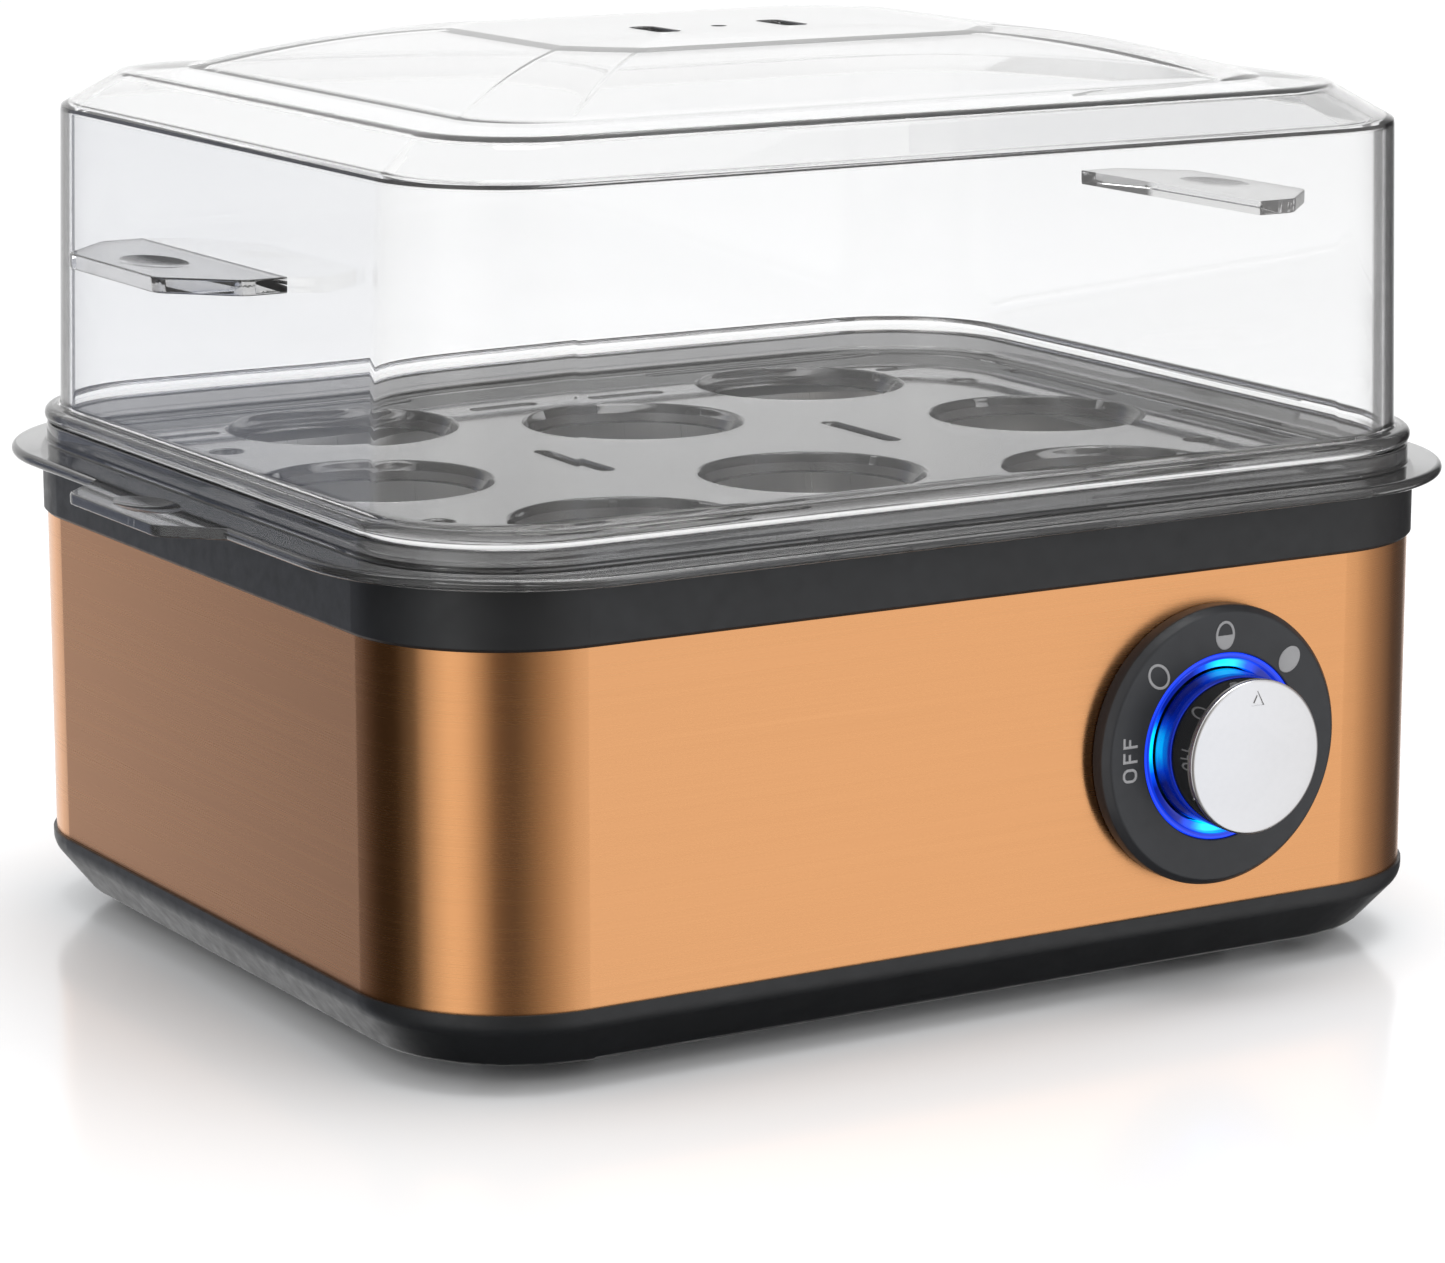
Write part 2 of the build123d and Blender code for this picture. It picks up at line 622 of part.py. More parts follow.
def film_capacitor():
    y = BOARD_Y + BOARD_T
    case = block(20, 33, y, y + 6, 27, 38)
    return fillet(case.edges().group_by(Axis.Y)[-1], 0.8)


def knob_body():
    back = FRONT - 2.45
    front = FRONT - KNOB_REACH + CAP_T
    body = level(DIAL_X, DIAL_Z, front, back, KNOB_R)
    body -= level(DIAL_X, DIAL_Z, front + 1.8, back, KNOB_R - 1.8)
    body += level(DIAL_X, DIAL_Z, front + 1.8, back, 5.0)
    return body - knob_spindle()


def knob_cap():
    back = FRONT - KNOB_REACH + CAP_T
    disc = Cylinder(KNOB_R, CAP_T - CAP_DOME, align=(Align.CENTER, Align.CENTER, Align.MIN))
    disc = chamfer(disc.edges().group_by(Axis.Z)[-1], 0.25)
    dome_r = (KNOB_R**2 + CAP_DOME**2) / (2 * CAP_DOME)
    dome = Pos(0, 0, CAP_T - dome_r) * Sphere(dome_r)
    disc += dome & Pos(0, 0, CAP_T - CAP_DOME) * Cylinder(
        KNOB_R - 0.25, 1, align=(Align.CENTER, Align.CENTER, Align.MIN)
    )
    pointer = Polygon(*POINTER, align=None)
    disc -= extrude(Pos(0, 0, CAP_T - POINTER_DEPTH) * pointer, 1)
    return Pos(DIAL_X, back, DIAL_Z) * Rot(90, 0, 0) * disc


# ---- mains inlet --------------------------------------------------------------------------------
def cord_gland():
    outside = -FRONT
    neck = level_prism(GLAND_NECK, GLAND_X, GLAND_Z, outside - GLAND_IN, outside + GLAND_OUT)
    flange = level(GLAND_X, GLAND_Z, outside, outside + GLAND_OUT, GLAND_FLANGE_R)
    flange = fillet(flange.edges().group_by(Axis.Y)[-1], 1.0)
    inner = level(GLAND_X, GLAND_Z, outside - SLEEVE_T - 2.0, outside - SLEEVE_T, GLAND_FLANGE_R - 1)
    bore = level(GLAND_X, GLAND_Z, outside - GLAND_IN - 1, outside + GLAND_OUT + 1, GLAND_BORE_R)
    return neck + flange + inner - bore


def terminal_block():
    floor = FOOT_H + PAN_T + TERMINAL_BOSS_H
    half = TERMINAL_D / 2
    half_w = TERMINAL_W / 2
    body = block(TERMINAL_X - half_w, TERMINAL_X + half_w, TERMINAL_Y - half, TERMINAL_Y + half,
                 floor, floor + TERMINAL_H)
    body = fillet(body.edges().filter_by(Axis.Z), 1.0)
    for x in TERMINAL_SCREW_X:
        body -= upright(x, TERMINAL_Y, floor, floor + TERMINAL_H, 1.5)
    for i in (-1, 0, 1):
        x = TERMINAL_X + i * TERMINAL_PITCH
        body -= level(x, TERMINAL_WIRE_Z, TERMINAL_Y - half, TERMINAL_Y + half, 1.3)
    return body


def terminal_screws():
    screw = Rot(180, 0, 0) * cross_screw(1.15, 2.3, 1.5, TERMINAL_H + 2)
    top = FOOT_H + PAN_T + TERMINAL_BOSS_H + TERMINAL_H
    return join([Pos(x, TERMINAL_Y, top) * screw for x in TERMINAL_SCREW_X])


# ---- tray and lid -------------------------------------------------------------------------------
def tab_plate(inner_x, outer_x, half_y, z0, z1):
    """Lift tab on the +X side: a plate with its two outer corners cut off."""
    outline = Polygon(
        (inner_x, -half_y),
        (outer_x - TAB_CHAMFER, -half_y),
        (outer_x, TAB_CHAMFER - half_y),
        (outer_x, half_y - TAB_CHAMFER),
        (outer_x - TAB_CHAMFER, half_y),
        (inner_x, half_y),
        align=None,
    )
    plate = extrude(Pos(0, 0, z0) * outline, z1 - z0)
    rounded = plate.edges().filter_by(Axis.Z).filter_by_position(Axis.X, outer_x - TAB_CHAMFER, outer_x)
    return fillet(rounded, 1.2)


def dimple_cutter(x, z):
    """Shallow bowl whose rim is an oval, wider along Y."""
    depth = DIMPLE[2]
    ball_r = (DIMPLE[1] ** 2 + depth**2) / (2 * depth)
    cap = Pos(0, 0, ball_r - depth) * Sphere(ball_r) & Pos(0, 0, -depth) * Cylinder(
        DIMPLE[1], depth, align=(Align.CENTER, Align.CENTER, Align.MIN)
    )
    return Pos(x, 0, z) * scale(cap, by=(DIMPLE[0] / DIMPLE[1], 1, 1))


def both_ends(shape):
    return shape + shape.mirror(Plane.YZ)


def tray_slots():
    """Drain slots and holes between the seats, the same in all four quarters."""
    z0, z1 = RIB_Z0 - 1, TRAY_Z1 + 1
    cuts = []
    for sx, sy in corners(1, 1):
        for x0, y0, x1, y1 in SLOTS:
            cuts.append(slot_cut(sx * x0, sy * y0, sx * x1, sy * y1, SLOT_W, z0, z1))
        hole_x, hole_y, hole_r = DRAIN_HOLE
        cuts.append(upright(sx * hole_x, sy * hole_y, z0, z1, hole_r))
    slot_x, half = MIDDLE_SLOT
    for sx in (-1, 1):
        cuts.append(slot_cut(sx * slot_x, -half, sx * slot_x, half, SLOT_W, z0, z1))
    return cuts


def egg_tray():
    tray = prism(TRAY, COLLAR_Z1, TRAY_Z1)
    tray += both_ends(tab_plate(TRAY[0] / 2 - 12, TRAY_TAB_X, TRAY_TAB_Y, COLLAR_Z1, TRAY_Z1))
    tray += prism(UPSTAND, TRAY_Z1, TRAY_Z1 + UPSTAND_H)
    tray -= prism(inset(UPSTAND, UPSTAND_T), TRAY_Z1, TRAY_Z1 + UPSTAND_H)
    tray += prism(RIB, RIB_Z0, COLLAR_Z1) - prism(inset(RIB, RIB_T), RIB_Z0, COLLAR_Z1)
    depth = TRAY_Z1 - SEAT_Z0
    seat_z = (SEAT_Z0 + TRAY_Z1) / 2
    for x, y in SEATS:
        lip = Pos(x, y, seat_z) * Cone(SEAT_R + SEAT_T, SEAT_TOP_R + SEAT_T, depth)
        tray += lip & prism(TRAY, SEAT_Z0, COLLAR_Z1 + 0.5)
    for x, y in SEATS:
        tray -= Pos(x, y, seat_z) * Cone(SEAT_R, SEAT_TOP_R, depth)
    for cut in tray_slots():
        tray -= cut
    for side_x in (-1, 1):
        tray -= dimple_cutter(side_x * TRAY_DIMPLE_X, TRAY_Z1)
    return tray


def dome_sections(base, top, z_base, z_top):
    """Rounded rectangles up a dome whose sides are convex: steep at the base, level at the top."""
    sections = []
    for i in range(1, DOME_STEPS + 1):
        t = i / DOME_STEPS
        size = tuple(b + (a - b) * t for a, b in zip(top, base))
        sections.append(size + (z_base + (z_top - z_base) * (1 - (1 - t) ** 2),))
    return sections


def lid():
    wall_top, ring = LID_TOP, LID_RING
    outside = [LID_BASE + (LID_Z0,), LID_BASE + (BEAD_Z0 + BEAD_T,), wall_top + (LID_TOP_Z,)]
    outside += [ring + (LID_RING_Z,), DOME_BASE + (DOME_Z0,)]
    outside += dome_sections(DOME_BASE, DOME_TOP, DOME_Z0, DOME_Z1)
    base_in = inset(LID_BASE, LID_T)
    inside = [base_in + (LID_Z0,), base_in + (BEAD_Z0 + BEAD_T,)]
    inside += [inset(wall_top, LID_T) + (LID_TOP_Z - 1.0,)]
    inside += [inset(ring, 0.5) + (LID_RING_Z - LID_T,), inset(DOME_BASE, 0.35) + (DOME_Z0 - LID_T,)]
    inside += dome_sections(inset(DOME_BASE, 0.35), DOME_TOP, DOME_Z0 - LID_T, DOME_Z1 - LID_T)
    bead = prism(BEAD, BEAD_Z0, BEAD_Z0 + BEAD_T)
    bead = fillet(bead.faces().filter_by(Axis.Z).edges(), 0.9)
    shell = stack(outside) + bead
    shell += both_ends(tab_plate(82, LID_TAB_X, LID_TAB_Y, LID_TAB_Z1 - LID_TAB_T, LID_TAB_Z1))
    shell -= stack(inside)
    for side_x in (-1, 1):
        x = side_x * VENT_X
        half = (VENT_L - VENT_W) / 2
        shell -= slot_cut(x, -half, x, half, VENT_W, DOME_Z1 - 3, DOME_Z1 + 1)
        shell -= dimple_cutter(side_x * LID_DIMPLE_X, LID_TAB_Z1)
    return shell


def lead(points, r=0.9):
    """Insulated wire through a list of points, its corners rounded."""
    path = FilletPolyline(points, radius=4.0)
    return sweep(Plane(path @ 0, z_dir=path % 0) * Circle(r), path=path)


def internal_leads():
    """Two insulated leads: heater to terminal block, and heater to relay along the pan's floor."""
    x, z = ELEMENT_TAIL_X, ELEMENT_Z
    pin_y = ELEMENT_TAIL_Y + 9
    back_y = 66.0
    live_x = TERMINAL_X + TERMINAL_PITCH
    block_y = TERMINAL_Y + TERMINAL_D / 2 + 0.1
    live = [(-x, pin_y, z), (live_x, back_y, z), (live_x, back_y, TERMINAL_WIRE_Z)]
    live.append((live_x, block_y, TERMINAL_WIRE_Z))
    floor_z = FOOT_H + PAN_T + 3
    relay_x, relay_z = 51.0, 33.0
    neutral = [(x, pin_y, z), (x, back_y, z), (x, back_y, floor_z), (x, FUSE_Y, floor_z)]
    neutral += [(relay_x, FUSE_Y, floor_z), (relay_x, FUSE_Y, relay_z)]
    neutral.append((relay_x, BOARD_Y + BOARD_T + 11.1, relay_z))
    return lead(live) + lead(neutral)


def main():
    os.makedirs("parts", exist_ok=True)
    element = heating_element()
    nodes = {
        "base_pan": base_pan(),
        "rubber_feet": rubber_feet(),
        "base_screws": base_screws(),
        "rating_plate": rating_plate(),
        "sleeve": sleeve(),
        "collar": collar(),
        "dish_seal": dish_seal(),
        "heating_dish": heating_dish(),
        "dish_nuts": dish_nuts(),
        "heating_plate": heating_plate(element),
        "heating_element": element,
        "element_terminals": element_terminals(),
        "thermostat": thermostat(),
        "thermostat_bracket": thermostat_bracket(),
        "thermal_fuse": thermal_fuse(),
        "fuse_clip": fuse_clip(),
        "bracket_screws": bracket_screws(),
        "dial_bezel": dial_bezel(),
        "dial_marks": dial_marks(),
        "light_ring": light_ring(),
        "dial_carrier": dial_carrier(),
        "bezel_screws": bezel_screws(),
        "control_board": control_board(),
        "board_screws": board_screws(),
        "timer_control": timer_control(),
        "ring_lights": ring_lights(),
        "buzzer": buzzer(),
        "power_relay": power_relay(),
        "film_capacitor": film_capacitor(),
        "cord_gland": cord_gland(),
        "terminal_block": terminal_block(),
        "terminal_screws": terminal_screws(),
        "internal_leads": internal_leads(),
        "knob_spindle": knob_spindle(),
        "knob_body": knob_body(),
        "knob_cap": knob_cap(),
        "egg_tray": egg_tray(),
        "lid": lid(),
    }
    for name, shape in nodes.items():
        write(name, shape)


main()
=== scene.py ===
import json
import math

import bmesh
import bpy
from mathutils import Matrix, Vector


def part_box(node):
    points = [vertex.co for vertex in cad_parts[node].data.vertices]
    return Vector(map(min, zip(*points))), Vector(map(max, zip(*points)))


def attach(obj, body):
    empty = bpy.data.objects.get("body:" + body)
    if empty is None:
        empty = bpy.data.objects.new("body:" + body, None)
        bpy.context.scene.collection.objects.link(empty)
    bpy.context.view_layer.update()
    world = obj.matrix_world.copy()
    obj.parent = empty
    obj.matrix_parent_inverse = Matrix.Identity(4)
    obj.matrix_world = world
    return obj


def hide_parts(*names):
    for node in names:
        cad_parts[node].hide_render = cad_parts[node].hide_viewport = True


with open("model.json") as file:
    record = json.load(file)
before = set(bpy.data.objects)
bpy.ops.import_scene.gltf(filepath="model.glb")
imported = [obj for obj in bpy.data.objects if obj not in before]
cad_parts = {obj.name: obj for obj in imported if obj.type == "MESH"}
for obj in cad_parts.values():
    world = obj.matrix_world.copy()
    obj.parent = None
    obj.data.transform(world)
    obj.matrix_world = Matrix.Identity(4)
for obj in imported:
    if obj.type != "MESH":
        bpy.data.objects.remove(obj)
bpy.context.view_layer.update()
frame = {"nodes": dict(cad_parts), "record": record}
NODES = frame["nodes"]
scene = bpy.context.scene

# Shapes are written in millimetres about the housing's centre line, and place() turns them into the
# frame's metres.
MM = 0.001
SLEEVE_LOW, SLEEVE_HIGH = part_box("sleeve")
HOUSING_Y = (SLEEVE_LOW.y + SLEEVE_HIGH.y) / 2
SLEEVE_FRONT = (SLEEVE_LOW.y - HOUSING_Y) / MM
RING_LOW, RING_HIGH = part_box("light_ring")
DIAL_X = (RING_LOW.x + RING_HIGH.x) / 2 / MM
DIAL_Z = (RING_LOW.z + RING_HIGH.z) / 2 / MM
CORNER_STEPS = 20
LATHE_STEPS = 160

# Camera of the studio shot: where it stands, where it looks and how long its lens is.
CAMERA_AT = (-0.39458, -0.65628, 0.20894)
CAMERA_AZIMUTH = -30.952
CAMERA_ELEVATION = 12.015
CAMERA_LENS_MM = 123.49
SENSOR_MM = 36.0

# What shiny surfaces mirror: a tall screen all round the table, as (azimuth in degrees, colour).
# UNDERSIDE is a dark disc far below, for the faces that look straight down. Both are in metres.
SCREEN = [
    (-180, (0.4, 0.4, 0.41)), (-169, (0.85, 0.85, 0.85)), (-158, (1.16, 1.16, 1.15)),
    (-148, (1.06, 1.05, 1.04)), (-138, (0.66, 0.63, 0.6)), (-127, (0.2, 0.18, 0.17)),
    (-116, (0.12, 0.11, 0.11)), (-107, (0.2, 0.19, 0.18)), (-93, (0.44, 0.41, 0.38)),
    (-76, (0.8, 0.78, 0.76)), (-64, (1.12, 1.15, 1.22)), (-52, (1.13, 1.12, 1.12)),
    (-40, (0.85, 0.83, 0.81)), (-25, (0.5, 0.47, 0.46)), (5, (0.1, 0.095, 0.1)), (28, (0.1, 0.1, 0.1)),
    (42, (1.08, 1.08, 1.08)), (106, (1.08, 1.08, 1.08)), (111, (0.66, 0.67, 0.72)),
    (116, (0.31, 0.35, 0.48)), (128, (0.12, 0.11, 0.12)), (145, (0.04, 0.035, 0.03)),
    (162, (0.04, 0.035, 0.03)), (174, (0.16, 0.16, 0.16)),
]
SCREEN_RADIUS = 2.5
SCREEN_FROM, SCREEN_TO = -2.5, 3.5
UNDERSIDE_RADIUS = 1.0
UNDERSIDE_Z = -1.0
SCREEN_SIDES = 96

# The rest of the stage: half the floor's side, the white world and the light overhead.
FLOOR_HALF = 8.0
WORLD_STRENGTH = 1.0
TOP_LIGHT_AT = (0.1, -0.1, 1.2)
TOP_LIGHT_SIZE = (0.8, 0.8)
TOP_LIGHT_WATTS = 7.0

# The lift tabs, told apart in the materials: they stick out past X and lie above Z, in metres.
LID_TABS_FROM = (0.0869, 0.105)
TRAY_TABS_FROM = (0.0966, 0.07)


# ---- materials ----------------------------------------------------------------------------------
class Surface:
    """A node material on one Principled shader, with short ways to add detail to it."""

    def __init__(self, name, **sockets):
        self.mat = bpy.data.materials.new(name)
        self.mat.use_nodes = True
        self.tree = self.mat.node_tree
        self.shader = self.tree.nodes["Principled BSDF"]
        self.coords = self.new("ShaderNodeTexCoord").outputs["Object"]
        for key, value in sockets.items():
            self.shader.inputs[key.replace("_", " ")].default_value = value

    def new(self, kind, **settings):
        node = self.tree.nodes.new(kind)
        for key, value in settings.items():
            setattr(node, key, value)
        return node

    def link(self, source, target):
        self.tree.links.new(source, target)

    def noise(self, scale, detail=3.0, roughness=0.55):
        """Noise whose features are 1/scale metres across; scale may differ per axis."""
        scale = scale if isinstance(scale, tuple) else (scale,) * 3
        mapping = self.new("ShaderNodeMapping")
        mapping.inputs["Scale"].default_value = scale
        self.link(self.coords, mapping.inputs["Vector"])
        node = self.new("ShaderNodeTexNoise")
        node.inputs["Scale"].default_value = 1.0
        node.inputs["Detail"].default_value = detail
        node.inputs["Roughness"].default_value = roughness
        self.link(mapping.outputs["Vector"], node.inputs["Vector"])
        return node.outputs["Fac"]

    def ranged(self, value, low, high, source=(0.3, 0.7)):
        node = self.new("ShaderNodeMapRange")
        node.inputs["From Min"].default_value, node.inputs["From Max"].default_value = source
        node.inputs["To Min"].default_value, node.inputs["To Max"].default_value = low, high
        self.link(value, node.inputs["Value"])
        return node.outputs["Result"]

    def mixed(self, factor, color_a, color_b):
        node = self.new("ShaderNodeMix", data_type="RGBA")
        node.inputs[6].default_value, node.inputs[7].default_value = color_a, color_b
        self.link(factor, node.inputs[0])
        return node.outputs[2]

    def ramp(self, value, stops):
        """Colours along a value from 0 to 1, given as (place, colour)."""
        node = self.new("ShaderNodeValToRGB")
        elements = node.color_ramp.elements
        while len(elements) < len(stops):
            elements.new(0.5)
        for element, (place_at, color) in zip(elements, stops):
            element.position = place_at
            element.color = tuple(color) + (1,)
        self.link(value, node.inputs["Fac"])
        return node.outputs["Color"]

    def math(self, operation, *values):
        node = self.new("ShaderNodeMath", operation=operation)
        for socket, value in zip(node.inputs, values):
            if isinstance(value, (int, float)):
                socket.default_value = value
            else:
                self.link(value, socket)
        return node.outputs["Value"]

    def to(self, value, socket):
        self.link(value, self.shader.inputs[socket])

    def relief(self, height, depth, rounded_edge=0.0):
        """Bump of the given depth in metres, on edges that look rounded off by a small radius."""
        bump = self.new("ShaderNodeBump")
        bump.inputs["Distance"].default_value = depth
        self.link(height, bump.inputs["Height"])
        if rounded_edge:
            edge = self.new("ShaderNodeBevel", samples=4)
            edge.inputs["Radius"].default_value = rounded_edge
            self.link(edge.outputs["Normal"], bump.inputs["Normal"])
        self.to(bump.outputs["Normal"], "Normal")


def moulded(name, color, roughness, grain=2600.0, depth=5e-6, ior=1.45):
    """Satin moulded plastic with a fine spark-eroded grain and faintly uneven gloss."""
    s = Surface(name, IOR=ior)
    dark = tuple(c * 0.85 for c in color) + (1,)
    s.to(s.mixed(s.ranged(s.noise(140.0), 0, 1), dark, tuple(color) + (1,)), "Base Color")
    s.to(s.ranged(s.noise(420.0, 4.0), roughness - 0.05, roughness + 0.06), "Roughness")
    s.relief(s.noise(grain, 2.0), depth, rounded_edge=2.5e-4)
    return s.mat


def metal(name, color, roughness, scale=300.0):
    """Plain metal with an uneven satin surface."""
    s = Surface(name, Metallic=1.0)
    dull = tuple(c * 0.88 for c in color) + (1,)
    s.to(s.mixed(s.ranged(s.noise(90.0), 0, 1), dull, tuple(color) + (1,)), "Base Color")
    s.to(s.ranged(s.noise(scale, 4.0), roughness - 0.06, roughness + 0.08), "Roughness")
    s.relief(s.noise(1800.0, 3.0), 3e-6, rounded_edge=1.5e-4)
    return s.mat


def brushed_copper():
    """Hairlines run level round the sleeve, so its highlights stretch upright."""
    s = Surface("copper_steel", Metallic=1.0, Anisotropic=0.85, Anisotropic_Rotation=0.25)
    hairline = s.noise((14.0, 14.0, 9000.0), 5.0, 0.75)
    broad = s.noise((9.0, 9.0, 1100.0), 4.0, 0.7)
    s.to(s.mixed(s.ranged(hairline, 0, 1), (0.725, 0.352, 0.150, 1), (0.760, 0.375, 0.162, 1)), "Base Color")
    s.to(s.ranged(broad, 0.25, 0.29), "Roughness")
    s.to(s.new("ShaderNodeTangent", direction_type="RADIAL", axis="Z").outputs["Tangent"], "Tangent")
    s.relief(hairline, 5e-7)
    return s.mat


def drawn_steel():
    """Stainless steel of the dish: drawn and then lightly brushed."""
    s = Surface("stainless", Metallic=1.0, Anisotropic=0.4)
    hairline = s.noise((4200.0, 22.0, 22.0), 4.0, 0.7)
    s.to(s.mixed(s.ranged(hairline, 0, 1), (0.57, 0.57, 0.56, 1), (0.62, 0.62, 0.61, 1)), "Base Color")
    s.to(s.ranged(hairline, 0.27, 0.32), "Roughness")
    return s.mat


def painted_edge_shade(s, stops_upright, stops_level):
    """Painted shade of a clear moulding: its colour darkens where the eye looks along the wall, in place of
    the dark reflections and refraction seen at its edges.

    Upright walls and level faces have their own ramps of painted shade over the Facing value, each as (place,
    grey).
    """
    # Painted shade: grey that falls towards the grazing edges, set separately for upright walls and level
    # faces.
    facing = s.new("ShaderNodeLayerWeight")
    facing.inputs["Blend"].default_value = 0.5
    ramps = [s.ramp(facing.outputs["Facing"], [(at, (v, v, v)) for at, v in stops])
             for stops in (stops_upright, stops_level)]
    split = s.new("ShaderNodeSeparateXYZ")
    s.link(s.new("ShaderNodeNewGeometry").outputs["Normal"], split.inputs["Vector"])
    level = s.ranged(s.math("ABSOLUTE", split.outputs["Z"]), 0.0, 1.0, source=(0.35, 0.75))
    node = s.new("ShaderNodeMix", data_type="RGBA")
    s.link(level, node.inputs[0])
    s.link(ramps[0], node.inputs[6])
    s.link(ramps[1], node.inputs[7])
    return node.outputs[2]


def tab_mask(s, from_x, from_z):
    """1 on the lift tabs, which stick out past X and lie above Z (metres), and 0 elsewhere."""
    split = s.new("ShaderNodeSeparateXYZ")
    s.link(s.coords, split.inputs["Vector"])
    out = s.ranged(s.math("ABSOLUTE", split.outputs["X"]), 0.0, 1.0, source=(from_x, from_x + 4e-4))
    high = s.ranged(split.outputs["Z"], 0.0, 1.0, source=(from_z, from_z + 1e-3))
    return s.math("MULTIPLY", out, high)


def clear_plastic():
    s = Surface("lid_clear", IOR=1.49, Transmission_Weight=0.965, Specular_Tint=(0.45, 0.44, 0.42, 1))
    # Painted shade along the lid's grazing edges, upright walls darker than level faces; the lift tabs are
    # made a darker grey.
    upright = [(0.0, 0.975), (0.60, 0.955), (0.65, 0.10), (0.76, 0.03), (1.0, 0.01)]
    level = [(0.0, 0.965), (0.6, 0.93), (0.88, 0.86), (0.95, 0.5), (1.0, 0.22)]
    edge_shade_and_grey_tabs = s.new("ShaderNodeMix", data_type="RGBA", blend_type="MULTIPLY")
    s.link(tab_mask(s, *LID_TABS_FROM), edge_shade_and_grey_tabs.inputs[0])
    s.link(painted_edge_shade(s, upright, level), edge_shade_and_grey_tabs.inputs[6])
    edge_shade_and_grey_tabs.inputs[7].default_value = (0.60, 0.60, 0.60, 1)
    s.to(edge_shade_and_grey_tabs.outputs[2], "Base Color")
    s.to(s.ranged(s.noise(60.0, 2.0), 0.0, 0.02), "Roughness")
    return s.mat


def smoke_plastic():
    s = Surface("tray_smoke", IOR=1.5, Transmission_Weight=0.92)
    # Painted shade along the tray's grazing edges, upright walls darker than level faces; the lift tabs are
    # given a paler grey.
    upright = [(0.0, 0.40), (0.60, 0.36), (0.72, 0.2), (0.85, 0.12), (1.0, 0.06)]
    level = [(0.0, 0.34), (0.6, 0.32), (0.90, 0.26), (0.96, 0.18), (1.0, 0.1)]
    edge_shade_and_pale_tabs = s.new("ShaderNodeMix", data_type="RGBA")
    s.link(tab_mask(s, *TRAY_TABS_FROM), edge_shade_and_pale_tabs.inputs[0])
    s.link(painted_edge_shade(s, upright, level), edge_shade_and_pale_tabs.inputs[6])
    edge_shade_and_pale_tabs.inputs[7].default_value = (0.46, 0.465, 0.47, 1)
    s.to(edge_shade_and_pale_tabs.outputs[2], "Base Color")
    s.to(s.ranged(s.noise(90.0, 2.0), 0.02, 0.07), "Roughness")
    return s.mat


def lit_ring():
    """Blue light guide with brighter, greener spots where the lights sit behind it."""
    s = Surface("blue_light", Roughness=0.15, Base_Color=(0.0, 0.01, 0.08, 1), IOR=1.5)
    split = s.new("ShaderNodeSeparateXYZ")
    move = s.new("ShaderNodeVectorMath", operation="SUBTRACT")
    move.inputs[1].default_value = (RING_LOW + RING_HIGH) / 2
    s.link(s.coords, move.inputs[0])
    s.link(move.outputs["Vector"], split.inputs["Vector"])
    x, z = split.outputs["X"], split.outputs["Z"]
    turn = s.math("ARCTAN2", z, x)
    wave = s.math("COSINE", s.math("MULTIPLY", s.math("SUBTRACT", turn, math.radians(85)), 4.0))
    wave = s.math("ADD", wave, s.math("MULTIPLY", s.noise(420.0, 3.0), 0.5))
    squares = s.math("ADD", s.math("POWER", x, 2.0), s.math("POWER", z, 2.0))
    radius = s.math("MULTIPLY", s.math("SQRT", squares), 1000)
    hot = s.ranged(radius, 1.0, 0.0, source=(13.0, 13.5))
    rim = s.ranged(radius, 0.0, 1.0, source=(13.75, 13.95))
    glow = s.ranged(wave, 0.0, 1.0, source=(-0.2, 1.25))
    spots = s.ramp(glow, [(0.0, (0.0, 0.012, 0.40)), (0.5, (0.0, 0.07, 0.85)), (1.0, (0.0, 0.42, 1.0))])
    colors = s.new("ShaderNodeMix", data_type="RGBA")
    s.link(hot, colors.inputs[0])
    colors.inputs[6].default_value = (0.004, 0.045, 0.90, 1)
    s.link(spots, colors.inputs[7])
    s.to(colors.outputs[2], "Emission Color")
    inner = s.math("MULTIPLY", hot, s.math("MULTIPLY", glow, 1.9))
    s.to(s.math("ADD", s.math("ADD", inner, s.math("MULTIPLY", rim, 0.5)), 0.75), "Emission Strength")
    return s.mat


def polished_black():
    s = Surface("knob_black", Base_Color=(0.004, 0.004, 0.0045, 1), IOR=4.0)
    s.to(s.ranged(s.noise(500.0, 4.0), 0.02, 0.06), "Roughness")
    return s.mat


def satin_silver():
    s = Surface("knob_silver", Metallic=1.0)
    cloud = s.ranged(s.noise(900.0, 2.0), 0, 1)
    s.to(s.mixed(cloud, (0.80, 0.805, 0.82, 1), (0.815, 0.82, 0.835, 1)), "Base Color")
    s.to(s.ranged(s.noise(60.0, 2.0), 0.30, 0.32), "Roughness")
    return s.mat


